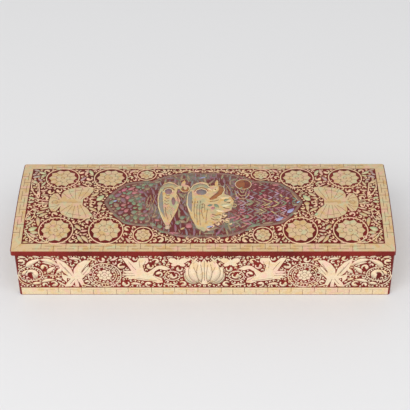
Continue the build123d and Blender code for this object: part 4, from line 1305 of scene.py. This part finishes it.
# back and ends: the same kinds of figures, set out more widely
sideOrnament = {
    "lift": 0.03,
    "lineWidth": 0.3,
    "roundelY": 24.0,
    "ringRadii": (13.0, 9.4),
    "ringWidth": 0.85,
    "sprayDrop": 2.0,            # how far below a roundel's middle a spray has its knot
    "fret": {"foot": 0.4, "top": 8.0, "pitch": 18.6, "bar": 13.5},
    # the open lid's overhang comes down over the top of the back, which stays bare there
    "back": {"roundels": (-79.0, 0.0, 79.0), "sprays": (-118.0, -39.5, 39.5, 118.0), "half": 144.0,
             "top": 42.9, "seed": 21},
    "left": {"roundels": (0.0,), "sprays": (-31.0, 31.0), "half": 46.6, "top": 43.9, "seed": 22},
    "right": {"roundels": (0.0,), "sprays": (-31.0, 31.0), "half": 46.6, "top": 43.9, "seed": 23},
}


def spray(x, y, hand):
    # two sheaves of blades that rise from one knot
    blades = ((-11.0, 14.0, 3.2, 1.2), (-6.0, 17.0, 3.4, 0.8), (1.0, 17.4, 3.4, -0.4), (7.4, 14.6, 3.2, -1.0),
              (11.6, 8.0, 2.8, -1.0), (-12.0, 5.6, 2.6, 1.0), (-8.0, -9.6, 2.4, -0.6), (0.0, -12.0, 2.4, 0.0),
              (7.4, -9.6, 2.4, 0.6))
    return [leaf(x, y, x + hand * dx, y + dy, width, hand * bow) for dx, dy, width, bow in blades]


def decorateSide(side, place, flatten, shared):
    setup = shared[side]
    plates = [f"{side}_roundels" if side == "back" else f"{side}_roundel"]
    roundelY = shared["roundelY"]
    motifs = []
    lines = []
    for x in setup["roundels"]:
        motifs += [ring(x, roundelY, radius, shared["ringWidth"]) for radius in shared["ringRadii"]]
        motifs += beads(x, roundelY, *roundelBeads)
        lines += petalLines(x, roundelY, *roundelPetals, shared["lineWidth"])
    for x in setup["sprays"]:
        motifs += spray(x, roundelY - shared["sprayDrop"], 1 if x < 0 else -1)
    fret = shared["fret"]
    lines += tLines(-setup["half"], setup["half"], fret["foot"], fret["top"], fret["pitch"], fret["bar"],
                    shared["lineWidth"])
    fill = dict(frontOrnament["fill"], seed=setup["seed"], across=(-setup["half"], setup["half"]),
                up=(frontOrnament["fill"]["up"][0], setup["top"]), overMiddle=0.0)
    spots = fillGround(fill, plateFinder(plates, place), plateEdges(plates, flatten) + strokeSpots(motifs))
    layOnCase(f"{side}_scrolls", motifs, place, shared["lift"])
    layOnCase(f"{side}_filling", fillStrokes(fill, spots), place, shared["lift"])
    engrave(f"{side}_engraving", lines, place, "case")


for side, place, flatten in (("back", onBack, flatOnBack), ("left", onLeft, flatOnLeft),
                             ("right", onRight, flatOnRight)):
    decorateSide(side, place, flatten, sideOrnament)

# linings: velvet on card, with soft edges and a slight crown, in place of the plain boards of the frame
liningSetup = {"edge": 0.6, "crown": 0.25, "cuts": 14}


def padLining(name, body, setup):
    low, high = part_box(name)
    size = high - low
    bpy.ops.object.select_all(action="DESELECT")
    bpy.ops.mesh.primitive_cube_add(size=1.0, location=(low + high) / 2)
    piece = bpy.context.object
    piece.name = name.replace("_lining", "_velvet")
    piece.scale = size
    bpy.ops.object.transform_apply(location=True, rotation=False, scale=True)
    bpy.ops.object.mode_set(mode="EDIT")
    bpy.ops.mesh.select_all(action="SELECT")
    bpy.ops.mesh.subdivide(number_cuts=setup["cuts"])
    bpy.ops.object.mode_set(mode="OBJECT")
    thin = min(range(3), key=lambda axis: size[axis])
    wide = [axis for axis in range(3) if axis != thin]
    middle = (low + high) / 2
    for vertex in piece.data.vertices:
        # the board thins a little from its middle to its borders
        reach = max(abs(vertex.co[axis] - middle[axis]) / (size[axis] / 2) for axis in wide)
        vertex.co[thin] = middle[thin] + (vertex.co[thin] - middle[thin]) * (1 - setup["crown"] * reach ** 3)
    rounding = piece.modifiers.new("softEdge", "BEVEL")
    rounding.width = setup["edge"] * mm
    rounding.segments = 3
    rounding.limit_method = "ANGLE"
    bpy.ops.object.modifier_apply(modifier=rounding.name)
    bpy.ops.object.shade_smooth()
    piece.select_set(False)
    wear(piece, velvet)
    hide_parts(name)
    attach(piece, body)


for name in ("floor_lining", "front_lining", "back_lining", "left_lining", "right_lining"):
    padLining(name, "case", liningSetup)
padLining("lid_lining", "lid", liningSetup)
print("linings padded")

# hinge screws: three slotted heads let into each leaf, 0.03 mm proud
screwSetup = {
    "radius": 0.9,
    "depth": 0.5,
    "proud": 0.03,
    "slot": (1.5, 0.28, 0.16),       # length, width and depth
    "spacing": 7.0,
    "fromEdge": 1.25,
    "leafGap": 0.05,
    "turns": (-15, 20, 55),          # degrees at which the three slots stand
}


def makeScrew(setup):
    # a head at the origin with its face at z = 0, looking up
    bpy.ops.object.select_all(action="DESELECT")
    bpy.ops.mesh.primitive_cylinder_add(vertices=20, radius=setup["radius"] * mm, depth=setup["depth"] * mm,
                                        location=(0, 0, -setup["depth"] / 2 * mm))
    head = bpy.context.object
    bpy.ops.object.transform_apply(location=True, rotation=False, scale=False)
    bpy.ops.mesh.primitive_cube_add(size=1.0)
    slot = bpy.context.object
    slot.scale = Vector((setup["slot"][0], setup["slot"][1], 2 * setup["slot"][2])) * mm
    bpy.ops.object.transform_apply(location=False, rotation=False, scale=True)
    cut = head.modifiers.new("slotCut", "BOOLEAN")
    cut.object = slot
    cut.operation = "DIFFERENCE"
    slot.select_set(False)
    head.select_set(True)
    bpy.context.view_layer.objects.active = head
    bpy.ops.object.modifier_apply(modifier=cut.name)
    bpy.data.objects.remove(slot)
    return head


def setScrews(setup):
    head = makeScrew(setup)
    for side in ("left", "right"):
        for body, facing in (("case", 1), ("lid", -1)):
            low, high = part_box(f"hinge_{side}_{body}_leaf")
            faceZ = caseHigh.z - facing * (setup["leafGap"] - setup["proud"]) * mm
            copies = []
            for k, turn in zip((-1, 0, 1), setup["turns"]):
                copy = head.copy()
                copy.data = head.data.copy()
                scene.collection.objects.link(copy)
                turned = Matrix.Rotation(math.radians(turn), 4, "Z")
                if facing < 0:
                    turned = Matrix.Rotation(math.pi, 4, "X") @ turned
                middle = Vector(((low.x + high.x) / 2 + k * setup["spacing"] * mm,
                                 low.y + setup["fromEdge"] * mm, faceZ))
                copy.data.transform(Matrix.Translation(middle) @ turned)
                copies.append(copy)
            bpy.ops.object.select_all(action="DESELECT")
            for copy in copies:
                copy.select_set(True)
            bpy.context.view_layer.objects.active = copies[0]
            bpy.ops.object.join()
            screws = bpy.context.object
            screws.name = f"hinge_{side}_{body}_screws"
            screws.select_set(False)
            wear(screws, brass)
            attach(screws, body)
    bpy.data.objects.remove(head)


setScrews(screwSetup)
print("screws set")

# floor and light
studio = {
    "floorSize": 6.0,
    "floorTone": (218, 218, 219),
    "worldStrength": 0.70,
    "mainPower": 17.5,
    "mainPlace": (-0.7, -1.1, 1.5),
    "mainSize": 1.6,
    "fillPower": 8.4,
    "fillPlace": (0.8, -0.9, 1.5),
    "fillSize": 1.6,
    "lampAim": (0, 0, 0.03),
}


def addLamp(name, place, power, size, aim):
    bpy.ops.object.light_add(type="AREA", location=place)
    lamp = bpy.context.object
    lamp.name = name
    lamp.data.energy = power
    lamp.data.shape = "DISK"
    lamp.data.size = size
    lamp.rotation_euler = (Vector(aim) - Vector(place)).to_track_quat("-Z", "Y").to_euler()


def addStudio(setup):
    bpy.ops.mesh.primitive_plane_add(size=setup["floorSize"])
    floor = bpy.context.object
    floor.name = "floor"
    wear(floor, grained("floorPaper", setup["floorTone"], setup["floorTone"], 300.0, 0.7))
    for lamp in ("main", "fill"):
        addLamp(f"{lamp}Lamp", setup[f"{lamp}Place"], setup[f"{lamp}Power"], setup[f"{lamp}Size"],
                setup["lampAim"])
    world = bpy.data.worlds.new("studioAir")
    world.use_nodes = True
    world.node_tree.nodes["Background"].inputs["Strength"].default_value = setup["worldStrength"]
    world.node_tree.nodes["Background"].inputs["Color"].default_value = (1.0, 1.0, 1.0, 1.0)
    scene.world = world


addStudio(studio)
scene.view_settings.view_transform = "Standard"
print("studio lit")
